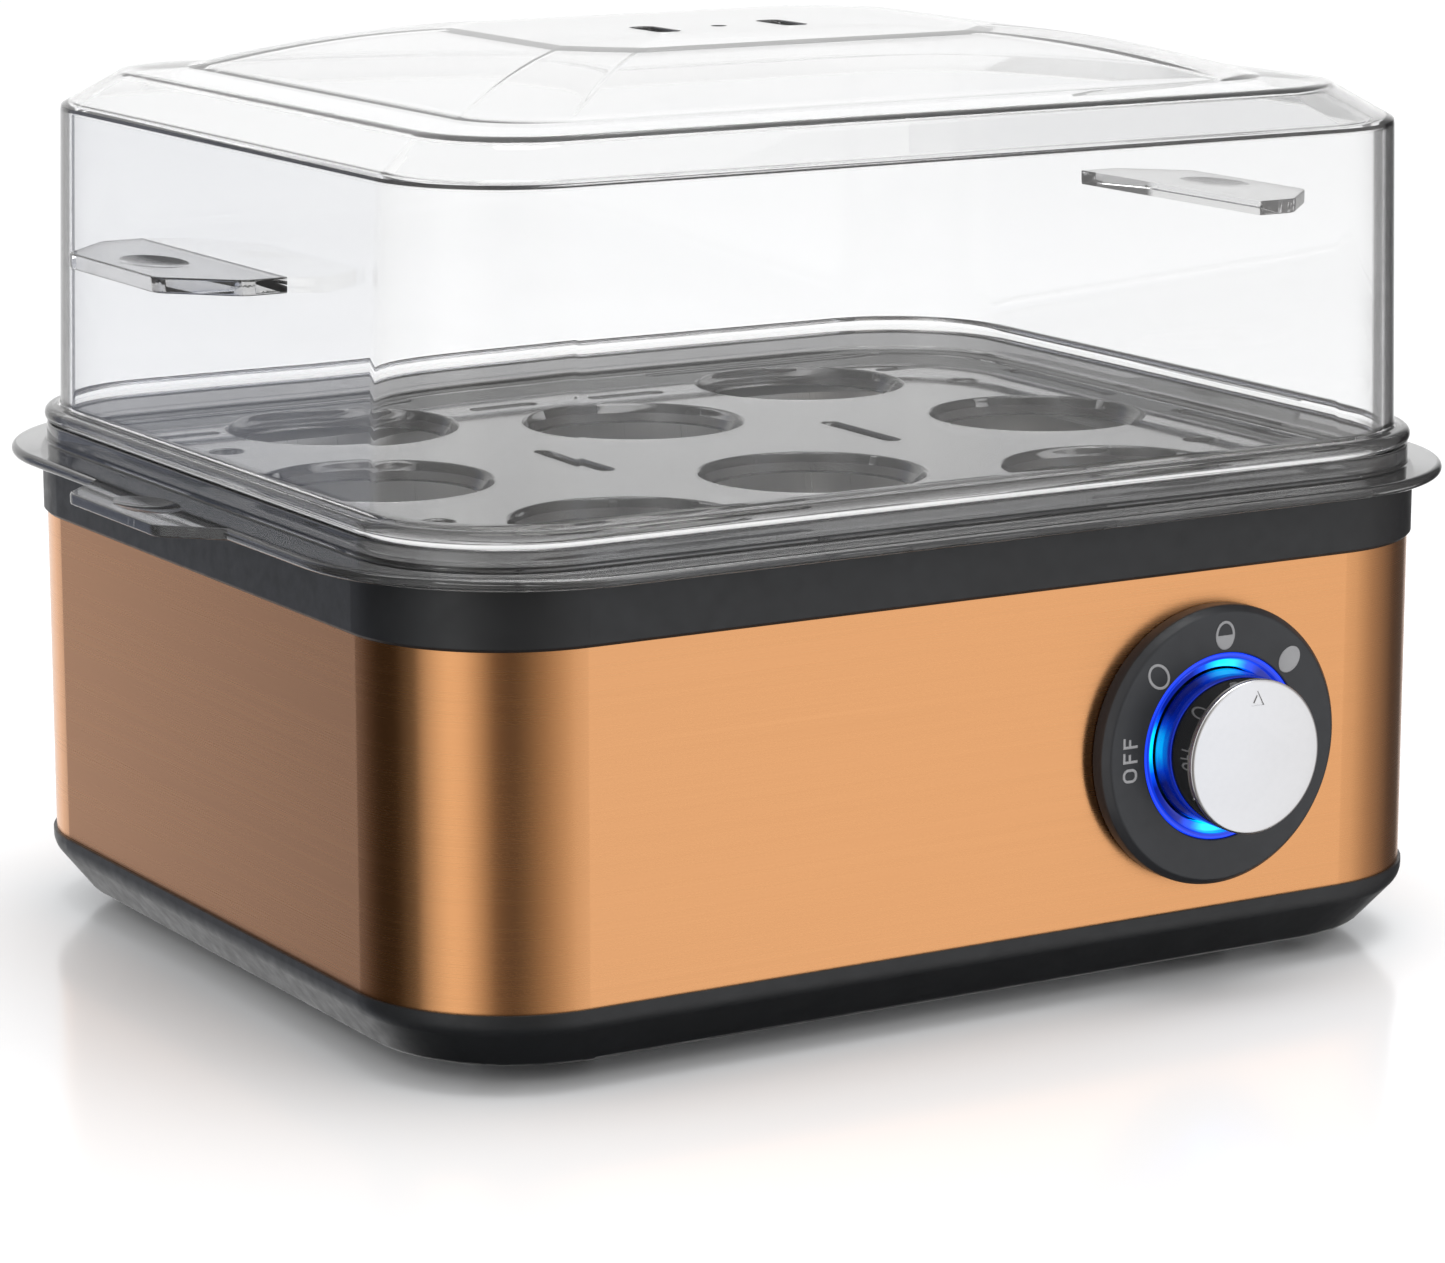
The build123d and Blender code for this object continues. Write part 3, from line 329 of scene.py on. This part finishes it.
MATERIALS = {
    "black_plastic": lambda: moulded("black_plastic", (0.015, 0.0162, 0.018), 0.40),
    "copper_steel": brushed_copper,
    "stainless": drawn_steel,
    "aluminium_cast": lambda: metal("aluminium_cast", (0.55, 0.55, 0.56), 0.5),
    "heater_sheath": lambda: metal("heater_sheath", (0.25, 0.24, 0.23), 0.5),
    "zinc_steel": lambda: metal("zinc_steel", (0.55, 0.56, 0.58), 0.35),
    "foot_rubber": lambda: moulded("foot_rubber", (0.022, 0.022, 0.023), 0.75),
    "seal_silicone": lambda: moulded("seal_silicone", (0.4, 0.4, 0.4), 0.6),
    "thermostat_black": lambda: moulded("thermostat_black", (0.02, 0.02, 0.02), 0.4),
    "fuse_brass": lambda: metal("fuse_brass", (0.6, 0.45, 0.2), 0.3),
    "bezel_plastic": lambda: moulded("bezel_plastic", (0.028, 0.030, 0.034), 0.36),
    "mark_print": lambda: moulded("mark_print", (0.36, 0.36, 0.37), 0.5),
    "blue_light": lit_ring,
    "board_green": lambda: moulded("board_green", (0.015, 0.12, 0.05), 0.35),
    "component_black": lambda: moulded("component_black", (0.02, 0.02, 0.02), 0.45),
    "component_blue": lambda: moulded("component_blue", (0.04, 0.1, 0.32), 0.35),
    "component_yellow": lambda: moulded("component_yellow", (0.55, 0.4, 0.05), 0.4),
    "terminal_white": lambda: moulded("terminal_white", (0.62, 0.61, 0.57), 0.45),
    "lead_insulation": lambda: moulded("lead_insulation", (0.35, 0.33, 0.3), 0.7),
    "label_silver": lambda: metal("label_silver", (0.5, 0.5, 0.5), 0.5),
    "knob_black": polished_black,
    "knob_silver": satin_silver,
    "tray_smoke": smoke_plastic,
    "lid_clear": clear_plastic,
}


def dress_nodes():
    """Gives every CAD node the finished material of its slot in the record."""
    made = {slot: make() for slot, make in MATERIALS.items()}
    for part in frame["record"]["subparts"]:
        for entry in NODES[part["node"]].material_slots:
            entry.material = made[part["material_slot"]]
    return made


# ---- mesh building ------------------------------------------------------------------------------
def place(x, y, z):
    return Vector((x * MM, HOUSING_Y + y * MM, z * MM))


def plan_loop(width, depth, radius, z, flat=0.0, x=0.0, y=0.0):
    """Rounded rectangle at a height; flat turns its round corners into straight cuts, from 0 to 1."""
    points = []
    for quarter, (sx, sy) in enumerate(((1, 1), (-1, 1), (-1, -1), (1, -1))):
        cx, cy = x + sx * (width / 2 - radius), y + sy * (depth / 2 - radius)
        start, end = [math.radians(90 * (quarter + k)) for k in (0, 1)]
        for i in range(CORNER_STEPS + 1):
            t = i / CORNER_STEPS
            a = start + (end - start) * t
            cut_x = math.cos(start) * (1 - t) + math.cos(end) * t
            cut_y = math.sin(start) * (1 - t) + math.sin(end) * t
            px = cx + radius * (math.cos(a) * (1 - flat) + cut_x * flat)
            py = cy + radius * (math.sin(a) * (1 - flat) + cut_y * flat)
            points.append(place(px, py, z))
    return points


def grown(size, by, z):
    """Loop of a (width, depth, radius) outline made larger by the given amount on every side."""
    width, depth, radius = size
    return plan_loop(width + 2 * by, depth + 2 * by, max(radius + by, 0.2), z)


def skin(loops):
    """Closed mesh through loops of equal length, the first and the last one capped."""
    bm = bmesh.new()
    rings = [[bm.verts.new(p) for p in loop] for loop in loops]
    count = len(rings[0])
    for low, high in zip(rings, rings[1:]):
        for i in range(count):
            j = (i + 1) % count
            bm.faces.new((low[i], low[j], high[j], high[i]))
    bm.faces.new(rings[0])
    bm.faces.new(rings[-1])
    bmesh.ops.remove_doubles(bm, verts=bm.verts, dist=1e-7)
    bmesh.ops.recalc_face_normals(bm, faces=bm.faces)
    return bm


def circle_loop(radius, z, x=0.0, y=0.0, squeeze=1.0, steps=64):
    turns = [2 * math.pi * i / steps for i in range(steps)]
    return [place(x + squeeze * radius * math.cos(a), y + radius * math.sin(a), z) for a in turns]


def lathe_dial(profile, closed=True):
    """Ring about the dial's axis, its profile given as (radius, height above the sleeve)."""
    bm = bmesh.new()
    rows = []
    for radius, height in profile:
        row = []
        for i in range(LATHE_STEPS):
            a = 2 * math.pi * i / LATHE_STEPS
            x, z = DIAL_X + radius * math.cos(a), DIAL_Z + radius * math.sin(a)
            row.append(bm.verts.new(place(x, SLEEVE_FRONT - height, z)))
        rows.append(row)
    pairs = list(zip(rows, rows[1:]))
    if closed:
        pairs.append((rows[-1], rows[0]))
    for low, high in pairs:
        for i in range(LATHE_STEPS):
            j = (i + 1) % LATHE_STEPS
            bm.faces.new((low[i], low[j], high[j], high[i]))
    if not closed:
        bm.faces.new(rows[0])
        bm.faces.new(rows[-1])
    bmesh.ops.recalc_face_normals(bm, faces=bm.faces)
    return bm


def prism(outline, z0, z1, bevel=0.0):
    """Upright block on an outline of (x, y) points, its edges rounded off."""
    bm = bmesh.new()
    low = [bm.verts.new(place(x, y, z0)) for x, y in outline]
    high = [bm.verts.new(place(x, y, z1)) for x, y in outline]
    count = len(outline)
    for i in range(count):
        j = (i + 1) % count
        bm.faces.new((low[i], low[j], high[j], high[i]))
    bm.faces.new(low)
    bm.faces.new(high)
    bmesh.ops.recalc_face_normals(bm, faces=bm.faces)
    if bevel:
        bmesh.ops.bevel(bm, geom=bm.edges[:], offset=bevel * MM, segments=3, profile=0.5, affect="EDGES",
                        clamp_overlap=True)
    return bm


def as_object(name, *meshes):
    """One object from one or more bmeshes that don't touch."""
    mesh = bpy.data.meshes.new(name)
    total = bmesh.new()
    for bm in meshes:
        part = bpy.data.meshes.new("part")
        bm.to_mesh(part)
        bm.free()
        total.from_mesh(part)
        bpy.data.meshes.remove(part)
    total.to_mesh(mesh)
    total.free()
    obj = bpy.data.objects.new(name, mesh)
    scene.collection.objects.link(obj)
    return obj


def evaluated(obj):
    """Turns the object's modifiers into its mesh."""
    bpy.context.view_layer.update()
    mesh = bpy.data.meshes.new_from_object(obj.evaluated_get(bpy.context.evaluated_depsgraph_get()))
    obj.modifiers.clear()
    old, obj.data = obj.data, mesh
    mesh.name = obj.name
    bpy.data.meshes.remove(old)


def combine(obj, operation, other):
    change = obj.modifiers.new("boolean", "BOOLEAN")
    change.operation = operation
    change.solver = "EXACT"
    change.object = other
    evaluated(obj)
    old = other.data
    bpy.data.objects.remove(other)
    bpy.data.meshes.remove(old)


def finish_piece(obj, material, body, slot, *nodes, sharp=32.0):
    """Smooth shading with crisp edges, the material, and the piece's place in the frame."""
    for face in obj.data.polygons:
        face.use_smooth = True
    obj.data.set_sharp_from_angle(angle=math.radians(sharp))
    weighted = obj.modifiers.new("normals", "WEIGHTED_NORMAL")
    weighted.keep_sharp = True
    weighted.weight = 80
    evaluated(obj)
    obj.data.materials.clear()
    obj.data.materials.append(material)
    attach(obj, body)
    if nodes:
        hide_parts(*nodes)
    return obj


def rounded_corner(center, radius, start, end, steps=5):
    """Points (offset, height) of an arc, angles in degrees, for a profile's rounded edge."""
    points = []
    for i in range(steps + 1):
        a = math.radians(start + (end - start) * i / steps)
        points.append((center[0] + radius * math.cos(a), center[1] + radius * math.sin(a)))
    return points


def tab_outline(inner_x, outer_x, half_y, cut, side, arc=1.4, steps=4):
    """Outline of a lift tab with two corners cut off and every outer corner rounded."""
    raw = [(inner_x, -half_y), (outer_x - cut, -half_y), (outer_x, cut - half_y), (outer_x, half_y - cut),
           (outer_x - cut, half_y), (inner_x, half_y)]
    points = [raw[0]]
    for before, here, after in zip(raw, raw[1:], raw[2:]):
        b, h, a = Vector(before), Vector(here), Vector(after)
        start, end = h + (b - h).normalized() * arc, h + (a - h).normalized() * arc
        for i in range(steps + 1):
            t = i / steps
            points.append(tuple(start * (1 - t) ** 2 + h * 2 * t * (1 - t) + end * t ** 2))
    points.append(raw[-1])
    return [(side * x, y) for x, y in points]


def dimple(x, top, half_x=4.4, half_y=8.0, depth=0.55):
    """Cutter for the shallow oval that a fingertip finds on a tab."""
    loops = [circle_loop(half_y * t, top + depth * (t * t - 1), x=x, squeeze=half_x / half_y)
             for t in (0.05, 0.2, 0.4, 0.6, 0.75, 0.88, 0.95, 1.0, 1.06, 1.14)]
    return skin(loops)


# ---- lid ----------------------------------------------------------------------------------------
LID_FOOT = (175.2, 145.9, 22.0)
LID_SHOULDER = (172.4, 143.7, 20.5)
LID_RING = (155.3, 126.1, 15.0)
DOME_FOOT = (137.8, 109.4, 12.0)
DOME_TOP = (75.2, 52.7, 9.0)
BEAD = (180.3, 150.5, 24.2)
LID_WALL = 1.8
BEAD_Z0, BEAD_Z1 = 78.3, 80.9
SHOULDER_Z = 128.6
RING_Z = 133.7
DOME_RISE = 0.7  # from the ring's inner edge to the dome's foot
DOME_STEPS = 14
TAB_HALF_Y = 25.0
TAB_CUT = 9.6
LID_TAB_Z1 = 111.2
LID_TAB_T = 2.35
LID_TAB_ROOT_X = 85.6
LID_DIMPLE_X = 96.0
VENT = (4.0, 10.0, 1.4)
VENT_X = 11.4
# (growth, height above the dome's top) up the cutter of a vent, and (radius, height) of the gate mark's.
VENT_STEPS = ((0, -4), (0, -0.35), (0.12, -0.1), (0.35, 0.02), (0.5, 1))
GATE_STEPS = ((0.9, -0.35), (1.15, -0.3), (1.35, 0.3))


def dome_loop(foot, top, t, z_foot, z_top):
    """Loop part way up the dome: its sides are convex and its corners turn from round to cut off."""
    width, depth, radius = (a + (b - a) * t for a, b in zip(foot, top))
    rise = 0.3 * t + 0.7 * (1 - (1 - t) ** 2)
    return plan_loop(width, depth, radius, z_foot + (z_top - z_foot) * rise, flat=0.9 * t)


def lid_outside(top_z):
    foot_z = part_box("lid")[0].z / MM
    loops = [grown(LID_FOOT, -0.4, foot_z), grown(LID_FOOT, -0.1, foot_z + 0.15)]
    loops += [grown(LID_FOOT, 0, foot_z + 0.5), grown(LID_FOOT, 0, BEAD_Z0)]
    middle = (BEAD_Z0 + BEAD_Z1) / 2
    half = (BEAD_Z1 - BEAD_Z0) / 2
    for out, z in rounded_corner((-half, middle), half, -90, 90, steps=10):
        loops.append(grown(BEAD, out, z))
    for out, z in rounded_corner((0.8, BEAD_Z1 + 0.8), 0.8, -90, -180, steps=3):
        loops.append(grown(LID_FOOT, out, z))
    for back, drop in ((0.0, 1.0), (0.12, 0.45), (0.42, 0.12), (1.0, -0.18)):
        loops.append(grown(LID_SHOULDER, -back, SHOULDER_Z - drop))
    for out, drop in ((0.9, 0.52), (0.35, 0.18), (-0.25, 0.04), (-0.9, -0.03)):
        loops.append(grown(LID_RING, out, RING_Z - drop))
    dome_z = RING_Z + DOME_RISE
    loops.append(grown(DOME_FOOT, 0.5, dome_z - 0.05))
    loops += [dome_loop(DOME_FOOT, DOME_TOP, i / DOME_STEPS, dome_z, top_z) for i in range(DOME_STEPS + 1)]
    width, depth, radius = DOME_TOP
    loops.append(plan_loop(width - 1.4, depth - 1.4, radius, top_z, flat=0.9))
    return loops


def lid_inside(top_z):
    foot_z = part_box("lid")[0].z / MM
    wall = LID_WALL
    loops = [grown(LID_FOOT, 0.4 - wall, foot_z), grown(LID_FOOT, 0.1 - wall, foot_z + 0.15)]
    loops += [grown(LID_FOOT, -wall, foot_z + 0.5), grown(LID_FOOT, -wall, BEAD_Z1 + 0.8)]
    for back, drop in ((0.0, 1.6), (0.15, 1.2), (0.5, 0.98), (1.0, 0.8)):
        loops.append(grown(LID_SHOULDER, -wall - back, SHOULDER_Z - drop))
    for out, drop in ((0.6, 0.4), (0.0, 0.06), (-0.8, -0.05)):
        loops.append(grown(LID_RING, out - 0.5, RING_Z - wall - drop))
    foot = tuple(v - s for v, s in zip(DOME_FOOT, (0.7, 0.7, 0.35)))
    z0, z1 = RING_Z + DOME_RISE - wall, top_z - wall
    loops += [dome_loop(foot, DOME_TOP, i / DOME_STEPS, z0, z1) for i in range(DOME_STEPS + 1)]
    return loops


def make_lid(material):
    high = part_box("lid")[1]
    top_z = high.z / MM
    inside = lid_inside(top_z)
    shell = as_object("lid_shell", skin(inside[::-1] + lid_outside(top_z)))
    for side in (-1, 1):
        outline = tab_outline(LID_TAB_ROOT_X, high.x / MM, TAB_HALF_Y, TAB_CUT, side)
        tab = prism(outline, LID_TAB_Z1 - LID_TAB_T, LID_TAB_Z1, bevel=0.3)
        combine(shell, "UNION", as_object("tab", tab))
    cuts = [dimple(side * LID_DIMPLE_X, LID_TAB_Z1) for side in (-1, 1)]
    width, length, corner = VENT
    for side in (-1, 1):
        cuts.append(skin([plan_loop(width + 2 * g, length + 2 * g, corner + g, top_z + up, x=side * VENT_X)
                          for g, up in VENT_STEPS]))
    cuts.append(skin([circle_loop(r, top_z + up, steps=32) for r, up in GATE_STEPS]))
    combine(shell, "DIFFERENCE", as_object("cuts", *cuts))
    return finish_piece(shell, material, "cover", "lid_clear", "lid", sharp=26.0)


# ---- egg tray -----------------------------------------------------------------------------------
TRAY = (193.0, 163.4, 34.0)
UPSTAND = (179.6, 150.0, 23.9)
RIB = (174.2, 144.5, 21.1)
TRAY_Z0, TRAY_Z1 = 73.5, 75.3
UPSTAND_Z1 = 78.3
RIB_Z0 = 71.2
TRAY_WALL = 1.5
TRAY_TAB_ROOT_X = 84.5
TRAY_DIMPLE_X = 98.2
SEATS = [(x, y) for x in (-43.0, 43.0) for y in (-46.0, 46.0)]
SEATS += [(-60.0, 0.0), (60.0, 0.0), (0.0, -27.0), (0.0, 27.0)]
SEAT_SIDES = 128
# (radius, height) up the cutter of a seat and up the lip that hangs under the tray round it.
SEAT_CUT = ((16.0, 71.5), (16.0, 72.3), (17.2, 74.7), (17.35, 75.0), (17.6, 75.22), (17.85, 75.32),
            (17.85, 76.0))
SEAT_LIP = ((16.2, 72.3), (17.2, 72.3), (17.9, 73.6), (18.2, 74.4))
# Drain slots of one quarter, from one point to another, the slot on the middle and the round holes.
SLOT_W = 2.6
SLOTS = [(26, 66, 71, 66), (63, 50.5, 73, 50.5), (81.5, 10, 81.5, 39), (6, 50, 17, 50)]
MIDDLE_SLOT = (26, 9)
DRAIN_HOLE = (68, 34, 2.5)
# (growth, height) up the cutters of the slots and holes, whose upper rims are rounded off.
SLOT_STEPS = ((0, 70.0), (0, 74.6), (0.05, 74.95), (0.2, 75.2), (0.35, 75.32), (0.35, 76.0))
HOLE_STEPS = ((0, 70.0), (0, 74.5), (0.1, 74.95), (0.3, 75.2), (0.5, 75.32), (0.5, 76.0))


def tray_loops():
    """Once round the tray's section: under the rib, round the flange's edge and over the upstand."""
    wall = TRAY_WALL
    loops = [grown(RIB, -wall - 3, TRAY_Z0), grown(RIB, -wall, TRAY_Z0), grown(RIB, -wall, RIB_Z0 + 0.2)]
    loops += [grown(RIB, -wall + 0.2, RIB_Z0), grown(RIB, -0.3, RIB_Z0), grown(RIB, 0, RIB_Z0 + 0.3)]
    loops.append(grown(RIB, 0, TRAY_Z0))
    half = (TRAY_Z1 - TRAY_Z0) / 2
    for out, z in rounded_corner((-half, TRAY_Z0 + half), half, -90, 90, steps=8):
        loops.append(grown(TRAY, out, z))
    loops += [grown(UPSTAND, 0.5, TRAY_Z1), grown(UPSTAND, 0.12, TRAY_Z1 + 0.12)]
    loops.append(grown(UPSTAND, 0, TRAY_Z1 + 0.5))
    for out, z in rounded_corner((-0.4, UPSTAND_Z1 - 0.4), 0.4, 0, 90, steps=4):
        loops.append(grown(UPSTAND, out, z))
    for out, z in rounded_corner((-wall + 0.4, UPSTAND_Z1 - 0.4), 0.4, 90, 180, steps=4):
        loops.append(grown(UPSTAND, out, z))
    loops += [grown(UPSTAND, -wall, TRAY_Z1 + 0.5), grown(UPSTAND, -wall - 0.5, TRAY_Z1)]
    return loops


def flared_slot(x0, y0, x1, y1):
    """Cutter for a drain slot."""
    length_x, length_y = abs(x1 - x0) + SLOT_W, abs(y1 - y0) + SLOT_W
    x, y = (x0 + x1) / 2, (y0 + y1) / 2
    return skin([plan_loop(length_x + 2 * g, length_y + 2 * g, SLOT_W / 2 + g, z, x=x, y=y)
                 for g, z in SLOT_STEPS])


def flared_hole(x, y, radius):
    return skin([circle_loop(radius + g, z, x=x, y=y) for g, z in HOLE_STEPS])


def tray_cuts():
    cuts = []
    hole_x, hole_y, hole_r = DRAIN_HOLE
    middle_x, middle_y = MIDDLE_SLOT
    for sx in (-1, 1):
        for sy in (-1, 1):
            cuts += [flared_slot(sx * x0, sy * y0, sx * x1, sy * y1) for x0, y0, x1, y1 in SLOTS]
            cuts.append(flared_hole(sx * hole_x, sy * hole_y, hole_r))
        cuts.append(flared_slot(sx * middle_x, -middle_y, sx * middle_x, middle_y))
        cuts.append(dimple(sx * TRAY_DIMPLE_X, TRAY_Z1))
    return cuts


def seat_stack(steps):
    """The same round stack at every seat, joined into one mesh by as_object()."""
    return [skin([circle_loop(r, z, x=x, y=y, steps=SEAT_SIDES) for r, z in steps]) for x, y in SEATS]


def make_tray(material):
    tray = as_object("egg_tray_moulding", skin(tray_loops()))
    tab_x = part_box("egg_tray")[1].x / MM
    for side in (-1, 1):
        outline = tab_outline(TRAY_TAB_ROOT_X, tab_x, TAB_HALF_Y, TAB_CUT, side)
        tab = prism(outline, TRAY_Z0 + 0.01, TRAY_Z1 - 0.01, bevel=0.35)
        combine(tray, "UNION", as_object("tab", tab))
    combine(tray, "UNION", as_object("lips", *seat_stack(SEAT_LIP)))
    combine(tray, "DIFFERENCE", as_object("seats", *seat_stack(SEAT_CUT)))
    combine(tray, "DIFFERENCE", as_object("cuts", *tray_cuts()))
    return finish_piece(tray, material, "tray", "tray_smoke", "egg_tray")


# ---- dial ---------------------------------------------------------------------------------------
BORE_TO_RING = 14.25 / 15.4  # the bezel's bore against the light ring's widest radius
RING_OUT_R = 14.2
RING_IN_R = 12.0
KNOB_BACK = 2.45  # the knob's back edge ahead of the sleeve
CAP_T = 1.2
CAP_DOME = 0.3
POINTER = ((-1.2, 7.9), (1.2, 7.9), (0.0, 10.2))
POINTER_DEPTH = 0.35
POINTER_CORE = 0.5  # size of the triangle that stays standing inside the engraved line


def height_of(node):
    """How far a node stands out of the sleeve's front, in mm."""
    return SLEEVE_FRONT - (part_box(node)[0].y - HOUSING_Y) / MM


def radius_of(node):
    low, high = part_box(node)
    return (high.z - low.z) / 2 / MM


def make_dial(made):
    reach, radius = height_of("dial_bezel"), radius_of("dial_bezel")
    bore = radius_of("light_ring") * BORE_TO_RING
    face = radius - 1.1
    profile = [(radius - 2, 0.02), (radius - 0.25, 0.02), (radius, 0.3), (radius, reach - 1.3)]
    profile += [(radius - 0.08, reach - 1.05), (face + 0.25, reach - 0.16), (face + 0.05, reach - 0.04)]
    profile += [(face - 0.25, reach), (bore + 0.35, reach), (bore + 0.1, reach - 0.08), (bore, reach - 0.35)]
    profile += [(bore, 1.2), (bore + 3, 1.2)]
    bezel = as_object("dial_bezel_disc", lathe_dial(profile))
    finish_piece(bezel, made["bezel_plastic"], "base", "bezel_plastic", "dial_bezel", sharp=50.0)

    outer, inner, front = RING_OUT_R, RING_IN_R, height_of("light_ring")
    profile = [(outer, 0.4), (outer, front - 0.1), (outer - 0.12, front), (outer - 0.75, front)]
    profile += [(outer - 0.9, front - 0.12), (outer - 0.95, front - 0.9), (inner + 0.5, front - 1.0)]
    profile += [(inner + 0.1, front - 0.95), (inner, front - 1.2), (inner, 0.4)]
    ring = as_object("light_guide", lathe_dial(profile))
    finish_piece(ring, made["blue_light"], "base", "blue_light", "light_ring", sharp=40.0)

    reach, radius = height_of("knob_cap"), radius_of("knob_cap")
    cap_back = reach - CAP_T
    profile = [(radius - 1.8, KNOB_BACK), (radius - 0.2, KNOB_BACK), (radius, KNOB_BACK + 0.2)]
    profile.append((radius, cap_back - 0.25))
    profile += [(radius - 0.25, cap_back - 0.05), (radius - 0.9, cap_back - 0.02), (0.5, cap_back - 0.02)]
    profile += [(0.5, cap_back - 1.8), (radius - 1.8, cap_back - 1.8)]
    body = as_object("knob_barrel", lathe_dial(profile))
    finish_piece(body, made["knob_black"], "knob", "knob_black", "knob_body")

    profile = [(0.05, cap_back), (radius - 0.25, cap_back), (radius, cap_back + 0.12), (radius, reach - 0.58)]
    profile += [(radius - 0.07, reach - 0.46), (radius - 0.22, reach - 0.36), (radius - 0.3, reach - 0.31)]
    profile += [(radius * t, reach - CAP_DOME * t * t) for t in (0.955, 0.85, 0.7, 0.5, 0.3, 0.1)]
    profile.append((0.05, reach))
    cap = as_object("knob_face", lathe_dial(profile, closed=False))
    combine(cap, "DIFFERENCE", as_object("pointer", pointer_cutter(reach)))
    finish_piece(cap, made["knob_silver"], "knob", "knob_silver", "knob_cap", sharp=24.0)


def pointer_cutter(reach):
    """Outline of a small triangle, engraved into the knob's face at the top."""
    corners = [Vector(point) for point in POINTER]
    middle = sum(corners, Vector((0, 0))) / 3
    inner = [middle + (c - middle) * POINTER_CORE for c in corners]
    bm = bmesh.new()
    rows = {}
    for key, h in (("deep", reach - POINTER_DEPTH), ("high", reach + 1)):
        for ring, points in (("out", corners), ("in", inner)):
            rows[ring, key] = [bm.verts.new(place(DIAL_X + p.x, SLEEVE_FRONT - h, DIAL_Z + p.y))
                               for p in points]
    for i in range(3):
        j = (i + 1) % 3
        for key in ("deep", "high"):
            bm.faces.new((rows["out", key][i], rows["out", key][j], rows["in", key][j], rows["in", key][i]))
        for ring in ("out", "in"):
            deep, high = rows[ring, "deep"], rows[ring, "high"]
            bm.faces.new((deep[i], deep[j], high[j], high[i]))
    bmesh.ops.recalc_face_normals(bm, faces=bm.faces)
    return bm


# ---- studio -------------------------------------------------------------------------------------
def make_camera():
    data = bpy.data.cameras.new("camera")
    data.lens = CAMERA_LENS_MM
    data.sensor_width = SENSOR_MM
    data.clip_start, data.clip_end = 0.01, 50.0
    camera = bpy.data.objects.new("camera", data)
    scene.collection.objects.link(camera)
    azimuth, elevation = math.radians(CAMERA_AZIMUTH), math.radians(CAMERA_ELEVATION)
    back = Vector((math.sin(azimuth) * math.cos(elevation), -math.cos(azimuth) * math.cos(elevation),
                   math.sin(elevation)))
    camera.location = CAMERA_AT
    camera.rotation_mode = "QUATERNION"
    camera.rotation_quaternion = (-back).to_track_quat("-Z", "Y")
    scene.camera = camera


def make_floor():
    mesh = bpy.data.meshes.new("floor")
    half = FLOOR_HALF
    corners = [(-half, -half, 0), (half, -half, 0), (half, half, 0), (-half, half, 0)]
    mesh.from_pydata(corners, [], [(0, 1, 2, 3)])
    floor = bpy.data.objects.new("floor", mesh)
    scene.collection.objects.link(floor)
    s = Surface("floor_white", Base_Color=(0.94, 0.94, 0.945, 1), IOR=1.42,
                Specular_Tint=(0.72, 0.93, 1.15, 1))
    s.to(s.ranged(s.noise(8.0), 0.15, 0.16), "Roughness")
    mesh.materials.append(s.mat)
    floor.visible_glossy = False


def make_screen():
    """Round screen, brighter and darker by direction, that only shows in shiny and clear surfaces."""
    steps = SCREEN_SIDES
    bm = bmesh.new()
    rows = [[bm.verts.new((SCREEN_RADIUS * math.cos(2 * math.pi * i / steps),
                           SCREEN_RADIUS * math.sin(2 * math.pi * i / steps), z)) for i in range(steps)]
            for z in (SCREEN_FROM, SCREEN_TO)]
    for i in range(steps):
        j = (i + 1) % steps
        bm.faces.new((rows[0][i], rows[0][j], rows[1][j], rows[1][i]))
    screen = as_object("screen", bm)
    s = Surface("screen_light", Base_Color=(0, 0, 0, 1), Roughness=1.0, Specular_IOR_Level=0.0,
                Emission_Strength=1.0)
    split = s.new("ShaderNodeSeparateXYZ")
    s.link(s.coords, split.inputs["Vector"])
    turn = s.math("ARCTAN2", split.outputs["Y"], split.outputs["X"])
    along = s.ranged(turn, 0.0, 1.0, source=(-math.pi, math.pi))
    stops = [((azimuth + 180) / 360, color) for azimuth, color in SCREEN]
    s.to(s.ramp(along, stops), "Emission Color")
    screen.data.materials.append(s.mat)
    screen.visible_camera = screen.visible_diffuse = screen.visible_shadow = False
    screen.visible_volume_scatter = False


def make_underside():
    """Dark disc that only shiny surfaces see, where they would mirror the shaded table under the body."""
    bm = bmesh.new()
    bmesh.ops.create_circle(bm, cap_ends=True, segments=64, radius=UNDERSIDE_RADIUS)
    disc = as_object("underside", bm)
    disc.location.z = UNDERSIDE_Z
    disc.data.materials.append(Surface("underside_dark", Base_Color=(0.02, 0.02, 0.02, 1), Roughness=1.0,
                                       Specular_IOR_Level=0.0).mat)
    disc.visible_camera = disc.visible_diffuse = disc.visible_transmission = disc.visible_shadow = False


def make_world():
    world = bpy.data.worlds.new("studio")
    scene.world = world
    world.use_nodes = True
    background = world.node_tree.nodes["Background"]
    background.inputs["Color"].default_value = (1.0, 1.0, 1.0, 1)
    background.inputs["Strength"].default_value = WORLD_STRENGTH


def soft_light(name, at, size, power, aim=(0, 0, 0.07)):
    data = bpy.data.lights.new(name, "AREA")
    data.shape = "RECTANGLE"
    data.size, data.size_y = size
    data.energy = power
    light = bpy.data.objects.new(name, data)
    light.location = at
    light.rotation_mode = "QUATERNION"
    light.rotation_quaternion = (Vector(aim) - Vector(at)).to_track_quat("-Z", "Y")
    scene.collection.objects.link(light)
    return light


def main():
    made = dress_nodes()
    make_lid(made["lid_clear"])
    make_tray(made["tray_smoke"])
    make_dial(made)
    make_camera()
    make_floor()
    make_screen()
    make_underside()
    make_world()
    soft_light("top_light", TOP_LIGHT_AT, TOP_LIGHT_SIZE, TOP_LIGHT_WATTS)
    scene.view_settings.view_transform = "Standard"


main()
